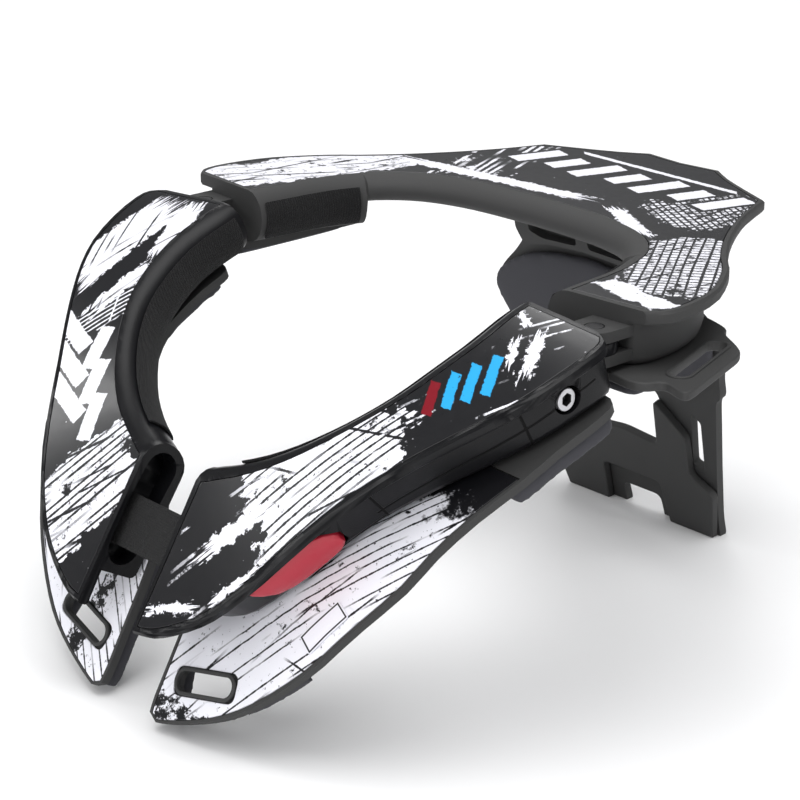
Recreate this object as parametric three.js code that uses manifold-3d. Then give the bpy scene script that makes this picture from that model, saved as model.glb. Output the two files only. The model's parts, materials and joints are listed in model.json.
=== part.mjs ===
// Motocross neck brace: a rear yoke with a back support, and two front shells
// with chest plates that swing open about upright hinge pins.
// Millimetres. +Z is up, the brace's front faces -Y and the wearer's left is +X.
import * as THREE from 'three';
import { mergeVertices } from 'three/addons/utils/BufferGeometryUtils.js';
import Module from 'manifold-3d';

const wasm = await Module();
wasm.setup();

// Overall sizes
const HALF_WIDTH = 133;        // centre to the widest point of the yoke's arm
const REAR_LENGTH = 156;       // from the yoke's datum line back to its rear edge
const PLATE_TOP = 158;         // yoke's top face above the datum, before it is set down
const SHELL_LENGTH = 180;      // front shell, measured down its curved top
const BODY_DEPTH = 22;         // moulding under the top face, on arms and shells
const LIP_DEPTH = 5;           // overhanging edge of every moulding
const RIM_ROUND = 9.5;         // how far the padded neck rim rolls over
const WALL_CORNER = 3;         // rounding along the bottom of the outer walls
const CLEARANCE = 0.3;         // gap between pieces that touch

// Curve of the front shells, seen from the side
const FRONT_START = 26;        // the curve starts this far in front of the datum
const FRONT_DROP = 1.3;        // and this far below the yoke's top face
const FRONT_RADIUS = 195;
const FRONT_START_ANGLE = THREE.MathUtils.degToRad(15.2);
const FRONT_END_ANGLE = THREE.MathUtils.degToRad(60);
const FACE_X = 15.6;           // half of the gap between the two front shells

// Printed panels
const PANEL_THICK = 1.2;
const PANEL_BORDER = 3;
const CHEST_BORDER = 1.8;

// Chest plates and their foam
const CHEST_SETBACK = 24.4;    // plate's top face under the shell's top face
const CHEST_THICK = 3.6;
const SPACER_REACH = 0.66;     // share of the shell's width that the chest plate rests on
const REAR_FOAM = 8;
const FRONT_FOAM = 7;
const FOAM_INSET = 2;
const FOAM_REACH = 0.9963;     // share of the chest plate's length that the foam covers
const CHEST_SLOT_LENGTH = 29;
const CHEST_SLOT_WIDTH = 8;
const SLOT_CORNER = 3.6;
const CHEST_SLOT_TURN = THREE.MathUtils.degToRad(-13.6);
const SLOT_FRAME = 1.6;

// Shoulder plates with the strap tabs, and their foam
const SHOULDER_THICK = 3.5;
const SHOULDER_FOAM = 5;
const TAB_SLOT_LENGTH = 42;
const TAB_SLOT_WIDTH = 8;
const TAB_TURN = THREE.MathUtils.degToRad(18.5);

// Hinges
const HINGE_INSET = 21;        // pin's axis in from the widest point of the yoke's arm
const HINGE_X = HALF_WIDTH - HINGE_INSET;
const HINGE_Y = -20.5;
const PIN_RADIUS = 3.5;
const LUG_RADIUS = 8.5;
const LUG_RELIEF = 0.6;        // room round the yoke's lugs in the shell's rear end
const LUG_TOP = 6.5;           // first lug's top under the yoke's top face
const LUG_UNDER = 2.3;         // last lug's bottom over the moulding's underside
const LUG_THICK = (BODY_DEPTH - LUG_TOP - LUG_UNDER - 2 * CLEARANCE) / 3;

// Back support
const SUPPORT_LEAN = THREE.MathUtils.degToRad(17.9);
const SUPPORT_FOOT_Y = 135;
const SUPPORT_HALF = 66.5;
const SUPPORT_HEIGHT = 152;
const SUPPORT_LAYER = 4;
const BRACKET_DEPTH = 21;
const BRACKET_LENGTH = 15;
const BRACKET_WIDTH = 72;

// Latch, release button and clamp screws
const POCKET_DEPTH = 8;
const POCKET_WALL = 3.6;
const TONGUE_THICK = 4.6;
const TONGUE_REACH = 5;
const BUTTON_HEIGHT = 15.5;
const BUTTON_PROUD = 1.4;
const BUTTON_BODY = 5;
const BUTTON_TRAVEL = 2.5;
const BUTTON_GAP = 0.6;
const SCREW_RADIUS = 4.2;
const SCREW_LENGTH = 5;
const SCREW_WELL = 5.4;
const STRIP_THICK = 1.2;

const STEPS_PER_ROW = 2;
const ROUND_STEPS = 10;
const ROW_LENGTH = 10;         // turns a gap in millimetres into a share of a row

// Columns: the neck rim's line and the outer edge, as shares. Along the shell the
// first number of each pair is a share of its length, the second goes from the
// end face to the full half width. The last column is the wall's inset under the
// lip, as a share of the body's depth.
const SHELL_ROWS = [
  { rim: [0.006, 0.544], edge: [0.033, 0.923], inset: 0.14 },
  { rim: [0.022, 0.542], edge: [0.053, 0.983], inset: 0.14 },
  { rim: [0.056, 0.540], edge: [0.089, 0.998], inset: 0.14 },
  { rim: [0.156, 0.540], edge: [0.167, 0.983], inset: 0.14 },
  { rim: [0.250, 0.514], edge: [0.250, 0.949], inset: 0.14 },
  { rim: [0.333, 0.476], edge: [0.322, 0.893], inset: 0.14 },
  { rim: [0.400, 0.421], edge: [0.389, 0.825], inset: 0.14 },
  { rim: [0.456, 0.357], edge: [0.467, 0.740], inset: 0.14 },
  { rim: [0.511, 0.276], edge: [0.567, 0.634], inset: 0.14 },
  { rim: [0.556, 0.187], edge: [0.678, 0.536], inset: 0.14 },
  { rim: [0.589, 0.097], edge: [0.794, 0.434], inset: 0.15 },
  { rim: [0.608, 0.029], edge: [0.878, 0.336], inset: 0.18 },
  { rim: [0.612, 0.016], edge: [0.928, 0.255], inset: 0.32 },
  { rim: [0.614, 0.009], edge: [0.969, 0.157], inset: 0.50 },
  { rim: [0.615, 0.003], edge: [0.992, 0.080], inset: 0.61 },
  { rim: [0.616, 0.000], edge: [1.000, 0.012], inset: 0.64 },
];

// The same for a chest plate, with shares of its own length.
const CHEST_ROWS = [
  { rim: [0.058, 0.617], edge: [0.043, 0.889] },
  { rim: [0.067, 0.583], edge: [0.050, 0.957] },
  { rim: [0.091, 0.566], edge: [0.077, 0.990] },
  { rim: [0.154, 0.566], edge: [0.144, 0.987] },
  { rim: [0.230, 0.557], edge: [0.216, 0.966] },
  { rim: [0.288, 0.540], edge: [0.302, 0.940] },
  { rim: [0.350, 0.497], edge: [0.408, 0.876] },
  { rim: [0.413, 0.421], edge: [0.504, 0.821] },
  { rim: [0.480, 0.310], edge: [0.590, 0.779] },
  { rim: [0.547, 0.182], edge: [0.691, 0.685] },
  { rim: [0.624, 0.063], edge: [0.777, 0.595] },
  { rim: [0.696, 0.008], edge: [0.840, 0.506] },
  { rim: [0.768, -0.007], edge: [0.897, 0.404] },
  { rim: [0.840, -0.009], edge: [0.936, 0.310] },
  { rim: [0.912, -0.009], edge: [0.965, 0.208] },
  { rim: [0.960, -0.009], edge: [0.988, 0.106] },
  { rim: [0.989, -0.003], edge: [1.000, 0.040] },
];

// Where each layer starts and ends, as row numbers of its table.
const REAR_FOAM_ROWS = [1.2, 5.2];
const FRONT_FOAM_ROWS = [10.6, 16];
const CHEST_PANEL_ROWS = [5, 15.8];
const SHELL_PANEL_START = 0.8;
const SPACER_ROWS = [1, 13];
const FRONT_STRIP_ROWS = [1.2, 10];
const REAR_STRIP_ROWS = [0.8, 5.2];
const YOKE_PANEL_START = 0.7;
const SCREW_ROW = 3;
const BUTTON_MIDDLE = 9.8;

// Release button: at each row of the shell, its top and its bottom edge as shares
// of the button's height under the lip.
const BUTTON_ROWS = [
  { at: 8.72, top: 0.50, low: 0.78 },
  { at: 8.78, top: 0.36, low: 0.87 },
  { at: 8.90, top: 0.20, low: 0.96 },
  { at: 9.10, top: 0.07, low: 1.00 },
  { at: 9.36, top: 0.00, low: 1.01 },
  { at: 9.66, top: 0.00, low: 0.99 },
  { at: 9.96, top: 0.00, low: 0.94 },
  { at: 10.24, top: 0.00, low: 0.82 },
  { at: 10.42, top: 0.00, low: 0.56 },
  { at: 10.50, top: 0.00, low: 0.25 },
];

// Columns: neck rim's line and outer edge of the yoke's left half, as shares of
// the half width and of the rear length, the place of the housing's outer wall
// across the band, and the moulding's depth as a share of the full depth.
const YOKE_ROWS = [
  { rim: [0.617, -0.087], edge: [0.955, -0.067], wall: 0.81, depth: 1 },
  { rim: [0.613, -0.064], edge: [0.989, -0.038], wall: 0.82, depth: 1 },
  { rim: [0.605, 0.000], edge: [1.000, 0.013], wall: 0.83, depth: 1 },
  { rim: [0.598, 0.064], edge: [0.989, 0.096], wall: 0.83, depth: 1 },
  { rim: [0.583, 0.141], edge: [0.955, 0.189], wall: 0.82, depth: 1 },
  { rim: [0.556, 0.205], edge: [0.880, 0.295], wall: 0.80, depth: 1 },
  { rim: [0.543, 0.231], edge: [0.838, 0.340], wall: 0.78, depth: 1, corner: true },
  { rim: [0.541, 0.234], edge: [0.834, 0.345], wall: 0.66, depth: 0.55, corner: true },
  { rim: [0.526, 0.256], edge: [0.786, 0.388], wall: 0.65, depth: 0.55 },
  { rim: [0.485, 0.295], edge: [0.695, 0.487], wall: 0.63, depth: 0.55 },
  { rim: [0.432, 0.327], edge: [0.605, 0.606], wall: 0.53, depth: 0.55 },
  { rim: [0.368, 0.349], edge: [0.530, 0.728], wall: 0.41, depth: 0.55 },
  { rim: [0.312, 0.362], edge: [0.470, 0.856], wall: 0.33, depth: 0.55, corner: true },
  { rim: [0.248, 0.372], edge: [0.346, 0.904], wall: 0.31, depth: 0.55 },
  { rim: [0.165, 0.378], edge: [0.233, 0.952], wall: 0.29, depth: 0.55 },
  { rim: [0.090, 0.381], edge: [0.148, 1.000], wall: 0.27, depth: 0.55, corner: true },
  { rim: [0.000, 0.383], edge: [0.000, 0.987], wall: 0.27, depth: 0.55 },
];

// Shoulder plate's outline: shares of the half width and of the rear length.
const SHOULDER_OUTLINE = [
  [0.700, -0.095], [0.800, -0.108], [0.962, -0.135], [1.018, -0.122], [1.038, -0.075],
  [1.110, -0.101], [1.142, -0.094], [1.030, 0.200], [0.985, 0.232], [0.885, 0.282],
  [0.872, 0.312], [0.760, 0.345], [0.680, 0.330], [0.680, -0.040],
];
const TAB_SLOT_CENTRE = [0.990, 0.088];
const SHOULDER_PAD_OUTLINE = [
  [0.76, -0.095], [0.96, -0.100], [0.945, -0.02], [0.880, 0.20], [0.835, 0.28], [0.800, 0.312],
  [0.76, 0.312],
];

// Back support's outlines, right to left symmetric: shares of its half width and
// of its height, measured along the leaning plate.
const BASE_OUTLINE = [
  [0.66, 1.00], [0.64, 0.93], [0.60, 0.87], [0.70, 0.82], [0.86, 0.755], [1.00, 0.68],
  [0.91, 0.57], [0.90, 0.505], [0.85, 0.49], [0.74, 0.23], [0.67, 0.05], [0.66, -0.03],
  [0.17, -0.03], [0.17, 0.062],
];
const BASE_WINDOW = [[0.33, 0.127], [0.35, 0.45], [0.25, 0.475], [0, 0.48]];
const SIDE_WINDOW = [[0.545, 0.236], [0.635, 0.222], [0.68, 0.395], [0.61, 0.416]];
const LEG_OUTLINE = [
  [0.345, 0.445], [0.575, 0.345], [0.545, 0.208], [0.725, 0.160], [0.635, -0.03],
  [0.285, -0.03], [0.262, 0.075], [0.255, 0.142],
];
const CROSSBAR_TOP = 0.285;
const PAD_OUTLINE = [
  [0, 0.867], [0.30, 0.858], [0.57, 0.829], [0.78, 0.778], [0.90, 0.735], [0.955, 0.685],
  [0.88, 0.60], [0.74, 0.505],
];
const CLAMP_OUTLINE = [[0.55, 0.975], [0.60, 0.925], [0.545, 0.866], [0.30, 0.890], [0, 0.898]];
const CLAMP_POCKET = [[0.05, 0.912], [0.36, 0.905], [0.47, 0.92], [0.46, 0.955], [0.05, 0.955]];

// Colours
const MOULDED = { color: 0x1b1b1e, roughness: 0.5, metalness: 0 };
const PRINTED = { color: 0xd9d9e2, roughness: 0.3, metalness: 0 };
const FOAM = { color: 0x2b2c30, roughness: 0.95, metalness: 0 };
const VELOUR = { color: 0x151516, roughness: 1, metalness: 0 };
const STEEL = { color: 0xc8cacc, roughness: 0.3, metalness: 0.9 };
const RED = { color: 0xa81c2d, roughness: 0.35, metalness: 0 };

const brace = new THREE.Group();

function addPiece(name, geometry, finish) {
  const mesh = new THREE.Mesh(geometry, new THREE.MeshStandardMaterial(finish));
  mesh.name = name;
  brace.add(mesh);
  return mesh;
}

// Solids: joining, cutting, mirroring

function solidOf(geometry) {
  const bare = geometry.clone();
  bare.deleteAttribute('normal');
  bare.deleteAttribute('uv');
  const merged = mergeVertices(bare, 1e-4);
  return new wasm.Manifold(new wasm.Mesh({
    numProp: 3,
    vertProperties: Float32Array.from(merged.attributes.position.array),
    triVerts: Uint32Array.from(merged.index.array),
  }));
}

function geometryOf(solid) {
  const mesh = solid.getMesh();
  const geometry = new THREE.BufferGeometry();
  geometry.setAttribute('position', new THREE.BufferAttribute(mesh.vertProperties, 3));
  geometry.setIndex(new THREE.BufferAttribute(mesh.triVerts, 1));
  return geometry;
}

function cut(geometry, ...tools) {
  const left = tools.reduce((solid, tool) => solid.subtract(solidOf(tool)), solidOf(geometry));
  return geometryOf(left);
}

function join(geometry, ...others) {
  return geometryOf(others.reduce((solid, other) => solid.add(solidOf(other)), solidOf(geometry)));
}

function mirrored(geometry) {
  const copy = geometry.clone();
  copy.scale(-1, 1, 1);
  const order = copy.index.array;
  for (let i = 0; i < order.length; i += 3) {
    [order[i + 1], order[i + 2]] = [order[i + 2], order[i + 1]];
  }
  return copy;
}

function boxBetween(low, high) {
  const box = new THREE.BoxGeometry(high[0] - low[0], high[1] - low[1], high[2] - low[2]);
  box.translate((low[0] + high[0]) / 2, (low[1] + high[1]) / 2, (low[2] + high[2]) / 2);
  return box;
}

function uprightCylinder(radius, x, y, low, high, sides = 32) {
  const cylinder = new THREE.CylinderGeometry(radius, radius, high - low, sides);
  cylinder.rotateX(Math.PI / 2);
  cylinder.translate(x, y, (low + high) / 2);
  return cylinder;
}

// Loft: one closed body through rings of equally many points

function signedVolume(points, order) {
  let sum = 0;
  for (let i = 0; i < order.length; i += 3) {
    const [a, b, c] = [points[order[i]], points[order[i + 1]], points[order[i + 2]]];
    sum += a.dot(b.clone().cross(c));
  }
  return sum;
}

function loft(rings, flatRings) {
  const count = rings[0].length;
  const points = rings.flat();
  const order = [];
  for (let r = 0; r + 1 < rings.length; r += 1) {
    for (let k = 0; k < count; k += 1) {
      const next = (k + 1) % count;
      const [a, b] = [r * count + k, r * count + next];
      const [c, d] = [a + count, b + count];
      order.push(a, b, d, a, d, c);
    }
  }
  const last = (rings.length - 1) * count;
  const caps = [[flatRings[0], 0, false], [flatRings[flatRings.length - 1], last, true]];
  for (const [flat, base, forward] of caps) {
    const outline = flat.map(([u, n]) => new THREE.Vector2(u, n));
    const clockwise = THREE.ShapeUtils.isClockWise(outline);
    for (const face of THREE.ShapeUtils.triangulateShape(outline, [])) {
      const turned = forward !== clockwise ? face : [face[0], face[2], face[1]];
      order.push(base + turned[0], base + turned[1], base + turned[2]);
    }
  }
  const flip = signedVolume(points, order) < 0;
  if (flip) order.reverse();
  const geometry = new THREE.BufferGeometry();
  geometry.setAttribute('position', new THREE.Float32BufferAttribute(
    points.flatMap((p) => [p.x, p.y, p.z]), 3));
  geometry.setIndex(order);
  return geometry;
}

// A table's value between its rows: a smooth curve that breaks at corner rows

function smooth(before, start, end, after, share) {
  const leave = (end - before) / 2;
  const arrive = (after - start) / 2;
  const [s2, s3] = [share * share, share * share * share];
  return start * (2 * s3 - 3 * s2 + 1) + leave * (s3 - 2 * s2 + share)
    + end * (3 * s2 - 2 * s3) + arrive * (s3 - s2);
}

function rowAt(rows, position) {
  const index = Math.min(Math.floor(position), rows.length - 2);
  const [start, end] = [rows[index], rows[index + 1]];
  const before = start.corner || index === 0 ? null : rows[index - 1];
  const after = end.corner || index + 2 === rows.length ? null : rows[index + 2];
  const value = (pick) => {
    const [a, b] = [pick(start), pick(end)];
    const first = before ? pick(before) : 2 * a - b;
    const second = after ? pick(after) : 2 * b - a;
    return smooth(first, a, b, second, position - index);
  };
  return {
    rim: [value((row) => row.rim[0]), value((row) => row.rim[1])],
    edge: [value((row) => row.edge[0]), value((row) => row.edge[1])],
    inset: value((row) => row.inset ?? 0),
    wall: value((row) => row.wall ?? 0),
    depth: value((row) => row.depth ?? 1),
  };
}

function positions(from, to) {
  const count = Math.ceil((to - from) * STEPS_PER_ROW);
  return Array.from({ length: count + 1 }, (_, i) => from + (to - from) * i / count);
}

// Places: a front point lies at x, a length down the curve and a height above it

const ARC_LENGTH = FRONT_RADIUS * (FRONT_END_ANGLE - FRONT_START_ANGLE);

function frontPlace(x, along, height) {
  const bent = Math.min(along, ARC_LENGTH);
  const angle = FRONT_START_ANGLE + bent / FRONT_RADIUS;
  const straight = along - bent;
  const back = FRONT_RADIUS * (Math.sin(angle) - Math.sin(FRONT_START_ANGLE));
  const down = FRONT_RADIUS * (Math.cos(FRONT_START_ANGLE) - Math.cos(angle));
  return new THREE.Vector3(
    x,
    -FRONT_START - back - straight * Math.cos(angle) - height * Math.sin(angle),
    PLATE_TOP - FRONT_DROP - down - straight * Math.sin(angle) + height * Math.cos(angle),
  );
}

function rearPlace(x, y, height) {
  return new THREE.Vector3(x, y, PLATE_TOP + height);
}

const SPAN = HALF_WIDTH - FACE_X;
const onShell = ([length, across]) => [FACE_X + across * SPAN, length * SHELL_LENGTH];
const onYoke = ([across, length]) => [across * HALF_WIDTH, length * REAR_LENGTH];

// The chest plate runs down to where the foam's lower corner meets the floor,
// which is the level of the datum.
const FOAM_UNDER = CHEST_SETBACK + CHEST_THICK + CLEARANCE + FRONT_FOAM;
const ARC_END = frontPlace(0, ARC_LENGTH, -FOAM_UNDER);
const CHEST_LENGTH = (ARC_LENGTH + ARC_END.z / Math.sin(FRONT_END_ANGLE)) / FOAM_REACH;
const onChest = ([length, across]) => [FACE_X + across * SPAN, length * CHEST_LENGTH];

// A band between the rim's line and the outer edge, with one section a station.
// The section is a list of points: across from the rim's line, and height.

function stationOf(row, onPlan) {
  const [rim, edge] = [onPlan(row.rim), onPlan(row.edge)];
  return { rim, edge, width: Math.hypot(edge[0] - rim[0], edge[1] - rim[1]), row };
}

function spot(station, across) {
  const share = across / station.width;
  return [
    station.rim[0] + (station.edge[0] - station.rim[0]) * share,
    station.rim[1] + (station.edge[1] - station.rim[1]) * share,
  ];
}

function band(rows, from, to, onPlan, place, sectionOf) {
  const stations = positions(from, to).map((at) => stationOf(rowAt(rows, at), onPlan));
  return bandThrough(stations, place, sectionOf);
}

function bandThrough(stations, place, sectionOf) {
  const flats = stations.map((station) => sectionOf(station));
  const rings = stations.map((station, i) => flats[i].map(([across, height]) => {
    const [a, b] = spot(station, across);
    return place(a, b, height);
  }));
  return loft(rings, flats);
}

function mouldedSection(width, depth, wall) {
  const half = depth / 2;
  const section = [];
  for (let i = 0; i <= ROUND_STEPS; i += 1) {
    const turn = Math.PI * i / ROUND_STEPS;
    section.push([RIM_ROUND * (1 - Math.sin(turn)), -half + half * Math.cos(turn)]);
  }
  const corner = Math.min(WALL_CORNER, (depth - LIP_DEPTH) / 2);
  for (let i = 0; i <= 3; i += 1) {
    const turn = Math.PI / 2 * i / 3;
    section.push([
      wall - corner + corner * Math.sin(turn),
      -depth + corner - corner * Math.cos(turn),
    ]);
  }
  section.push([wall, -LIP_DEPTH], [width - 1, -LIP_DEPTH], [width, 1 - LIP_DEPTH]);
  section.push([width, -1], [width - 1, 0]);
  return section;
}

function slab(inner, outer, top, bottom) {
  return [[inner, top], [inner, bottom], [outer, bottom], [outer, top]];
}

// Rear yoke and its printed panel

const YOKE_LAST = YOKE_ROWS.length - 1;

function yokeStations(from) {
  const left = positions(from, YOKE_LAST).map((at) => stationOf(rowAt(YOKE_ROWS, at), onYoke));
  const right = left.slice(0, -1).reverse().map((station) => ({
    ...station,
    rim: [-station.rim[0], station.rim[1]],
    edge: [-station.edge[0], station.edge[1]],
  }));
  return [...left, ...right];
}

function yokeSection({ width, row }) {
  return mouldedSection(width, BODY_DEPTH * row.depth, width * row.wall);
}

function yokePanel(grow) {
  const stations = yokeStations(YOKE_PANEL_START - grow / ROW_LENGTH);
  return bandThrough(stations, rearPlace, ({ width }) => slab(
    RIM_ROUND + CLEARANCE - grow, width - PANEL_BORDER + grow, grow, -PANEL_THICK - grow));
}

// Hinges: the yoke has a fork of two lugs, and the shell's lug turns between them

const HINGE = [HINGE_X, HINGE_Y];
const FORK_TOP = PLATE_TOP - LUG_TOP;
const LUG_STEP = LUG_THICK + CLEARANCE;
const lugTop = (level) => FORK_TOP - level * LUG_STEP;

function lug(level, toY) {
  const [low, high] = [lugTop(level) - LUG_THICK, lugTop(level)];
  const ring = uprightCylinder(LUG_RADIUS, ...HINGE, low, high);
  const [near, far] = [Math.min(HINGE_Y, toY), Math.max(HINGE_Y, toY)];
  const arm = boxBetween([HINGE_X - LUG_RADIUS, near, low], [HINGE_X + LUG_RADIUS, far, high]);
  return join(ring, arm);
}

const PIN_LOW = lugTop(2) - LUG_THICK;
const pinBore = uprightCylinder(PIN_RADIUS + CLEARANCE, ...HINGE, PIN_LOW - 1, FORK_TOP + 1);
const hingePin = uprightCylinder(PIN_RADIUS, ...HINGE, PIN_LOW, FORK_TOP);
const forkEnd = -0.04 * REAR_LENGTH;
const fork = join(lug(0, forkEnd), lug(2, forkEnd));

const yokeBody = join(
  bandThrough(yokeStations(0), rearPlace, yokeSection), fork, mirrored(fork));
const yoke = cut(yokeBody, yokePanel(CLEARANCE), pinBore, mirrored(pinBore));
addPiece('rear_yoke', yoke, MOULDED);
addPiece('rear_top_panel', yokePanel(0), PRINTED);

// Front shells and their printed panels

const SHELL_LAST = SHELL_ROWS.length - 1;

function shellSection({ width, row }) {
  return mouldedSection(width, BODY_DEPTH, width - BODY_DEPTH * row.inset);
}

function shellPanel(grow) {
  const slack = grow - CLEARANCE;
  const start = SHELL_PANEL_START - grow / ROW_LENGTH;
  const whole = band(SHELL_ROWS, start, SHELL_LAST, onShell, frontPlace, ({ width }) => slab(
    RIM_ROUND - slack, width - PANEL_BORDER + grow, grow, -PANEL_THICK - grow));
  const border = FACE_X + PANEL_BORDER - grow;
  return cut(whole, boxBetween([0, -2 * SHELL_LENGTH, 0], [border, 0, 2 * PLATE_TOP]));
}

// A pocket with round ends, sunk into the end face
const POCKET_MIDDLE = -BODY_DEPTH / 2;
const POCKET_START = SHELL_ROWS[SHELL_LAST].rim[0] * SHELL_LENGTH + POCKET_WALL;
const POCKET_END = SHELL_LENGTH - BODY_DEPTH * SHELL_ROWS[SHELL_LAST].inset - POCKET_WALL;

function endPocket() {
  const half = BODY_DEPTH / 2 - POCKET_WALL;
  const steps = 24;
  const rings = [];
  const flats = [];
  for (let i = 0; i <= steps; i += 1) {
    const along = POCKET_START + (POCKET_END - POCKET_START) * (1 - Math.cos(Math.PI * i / steps)) / 2;
    const nearEnd = Math.min(along - POCKET_START, POCKET_END - along, half);
    const reach = Math.max(Math.sqrt(half * half - (half - nearEnd) ** 2), 0.4);
    const flat = slab(0, FACE_X + POCKET_DEPTH, POCKET_MIDDLE + reach, POCKET_MIDDLE - reach);
    flats.push(flat);
    rings.push(flat.map(([x, height]) => frontPlace(x, along, height)));
  }
  return loft(rings, flats);
}

// Release button: a crowned leaf in the left shell's wall, under the lip
const BUTTON_TOP = -LIP_DEPTH - 0.4;

const buttonMiddle = stationOf(rowAt(SHELL_ROWS, BUTTON_MIDDLE), onShell);
const BUTTON_AXIS = frontPlace(...buttonMiddle.rim, BUTTON_TOP)
  .sub(frontPlace(...buttonMiddle.edge, BUTTON_TOP)).normalize();

function buttonBody(grow, proud, back) {
  const last = BUTTON_ROWS.length - 1;
  const flats = [];
  const rings = BUTTON_ROWS.map((row, i) => {
    const end = i === 0 ? -grow / ROW_LENGTH : i === last ? grow / ROW_LENGTH : 0;
    const station = stationOf(rowAt(SHELL_ROWS, row.at + end), onShell);
    const wall = station.width - BODY_DEPTH * station.row.inset;
    const low = BUTTON_TOP - row.low * BUTTON_HEIGHT - grow;
    const high = BUTTON_TOP - row.top * BUTTON_HEIGHT + grow;
    const flat = [[-back, high], [-back, low], [proud * 0.3, low]];
    for (const part of [0.25, 0.5, 0.75]) {
      flat.push([proud, low + (high - low) * part]);
    }
    flat.push([proud * 0.3, high]);
    flats.push(flat);
    return flat.map(([out, height]) => frontPlace(...spot(station, wall), height)
      .addScaledVector(BUTTON_AXIS, -out));
  });
  return loft(rings, flats);
}

// Clamp screw in a well of the side wall, lying along X
const SCREW_ALONG = 0.17 * SHELL_LENGTH;
const SCREW_DOWN = -0.55 * BODY_DEPTH;
const screwStation = stationOf(rowAt(SHELL_ROWS, SCREW_ROW), onShell);
const SCREW_WALL_X = screwStation.edge[0] - BODY_DEPTH * screwStation.row.inset;
const screwPlace = frontPlace(0, SCREW_ALONG, SCREW_DOWN);

function sideCylinder(radius, from, to, sides) {
  const cylinder = new THREE.CylinderGeometry(radius, radius, to - from, sides);
  cylinder.rotateZ(Math.PI / 2);
  cylinder.translate((from + to) / 2, screwPlace.y, screwPlace.z);
  return cylinder;
}

const screwOut = SCREW_WALL_X - 0.6;
const screwIn = screwOut - SCREW_LENGTH;
const clampScrew = cut(
  sideCylinder(SCREW_RADIUS, screwIn, screwOut, 28),
  sideCylinder(0.55 * SCREW_RADIUS, screwOut - 0.6 * SCREW_LENGTH, screwOut + 1, 6),
);
const screwWell = sideCylinder(SCREW_WELL, screwIn - CLEARANCE, HALF_WIDTH + 1, 28);

const shellEnd = frontPlace(0, 0.06 * SHELL_LENGTH, 0).y;
const lugRelief = uprightCylinder(LUG_RADIUS + LUG_RELIEF, ...HINGE, 0, 2 * PLATE_TOP, 40);
const shellBody = join(
  cut(band(SHELL_ROWS, 0, SHELL_LAST, onShell, frontPlace, shellSection), lugRelief),
  lug(1, shellEnd));
const spacerStart = 1.5 * RIM_ROUND;
const spacer = band(SHELL_ROWS, ...SPACER_ROWS, onShell, frontPlace, ({ width }) => slab(
  spacerStart, SPACER_REACH * width, 1 - BODY_DEPTH, 2 * CLEARANCE - CHEST_SETBACK));
const leftShell = cut(
  join(shellBody, spacer), shellPanel(CLEARANCE), endPocket(), screwWell, pinBore);
const buttonWell = buttonBody(BUTTON_GAP, 6, BUTTON_BODY + BUTTON_TRAVEL + BUTTON_GAP);

addPiece('left_front_shell', cut(leftShell, buttonWell), MOULDED);
addPiece('right_front_shell', mirrored(leftShell), MOULDED);
addPiece('release_button', buttonBody(0, BUTTON_PROUD, BUTTON_BODY), RED);

// Latch tongue: fixed in the right shell's pocket, its tip in the left one's
const TONGUE_START = 0.745 * SHELL_LENGTH;
const TONGUE_END = 0.862 * SHELL_LENGTH;

function latchTongue() {
  const steps = 6;
  const flat = slab(
    CLEARANCE - FACE_X - POCKET_DEPTH, FACE_X + TONGUE_REACH,
    POCKET_MIDDLE + TONGUE_THICK / 2, POCKET_MIDDLE - TONGUE_THICK / 2);
  const rings = [];
  for (let i = 0; i <= steps; i += 1) {
    const along = TONGUE_START + (TONGUE_END - TONGUE_START) * i / steps;
    rings.push(flat.map(([x, height]) => frontPlace(x, along, height)));
  }
  return loft(rings, rings.map(() => flat));
}
addPiece('latch_tongue', latchTongue(), FOAM);

// Chest plates, their panels and foam, with a strap slot through each
const CHEST_LAST = CHEST_ROWS.length - 1;
const SLOT_ALONG = 0.899 * CHEST_LENGTH;
const SLOT_ACROSS = FACE_X + 0.183 * SPAN;

function chestSlot(grow, growAcross = grow) {
  const [length, width] = [CHEST_SLOT_LENGTH + 2 * grow, CHEST_SLOT_WIDTH + 2 * growAcross];
  const depth = 3 * (CHEST_THICK + FRONT_FOAM);
  const outline = roundedShape([
    [-length / 2, -width / 2], [length / 2, -width / 2],
    [length / 2, width / 2], [-length / 2, width / 2],
  ], SLOT_CORNER);
  const slot = new THREE.ExtrudeGeometry(outline, {
    depth, bevelEnabled: false, curveSegments: 6,
  });
  slot.translate(0, 0, -depth / 2);
  slot.rotateZ(-CHEST_SLOT_TURN);
  slot.rotateX(FRONT_END_ANGLE);
  const centre = frontPlace(SLOT_ACROSS, SLOT_ALONG, -CHEST_SETBACK);
  slot.translate(centre.x, centre.y, centre.z);
  return slot;
}

function roundedShape(points, radius) {
  const shape = new THREE.Shape();
  points.forEach((point, i) => {
    const before = points[(i + points.length - 1) % points.length];
    const after = points[(i + 1) % points.length];
    const toward = (other) => {
      const distance = Math.hypot(other[0] - point[0], other[1] - point[1]);
      const share = Math.min(radius / distance, 0.45);
      return [point[0] + (other[0] - point[0]) * share, point[1] + (other[1] - point[1]) * share];
    };
    const [start, end] = [toward(before), toward(after)];
    if (i === 0) shape.moveTo(...start);
    else shape.lineTo(...start);
    shape.quadraticCurveTo(...point, ...end);
  });
  shape.closePath();
  return shape;
}

function chestLayer(from, to, top, thickness, inset, inner = inset) {
  return band(CHEST_ROWS, from, to, onChest, frontPlace, ({ width }) => slab(
    Math.min(inner, width / 3), width - Math.min(inset, width / 3), top, top - thickness));
}

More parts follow.
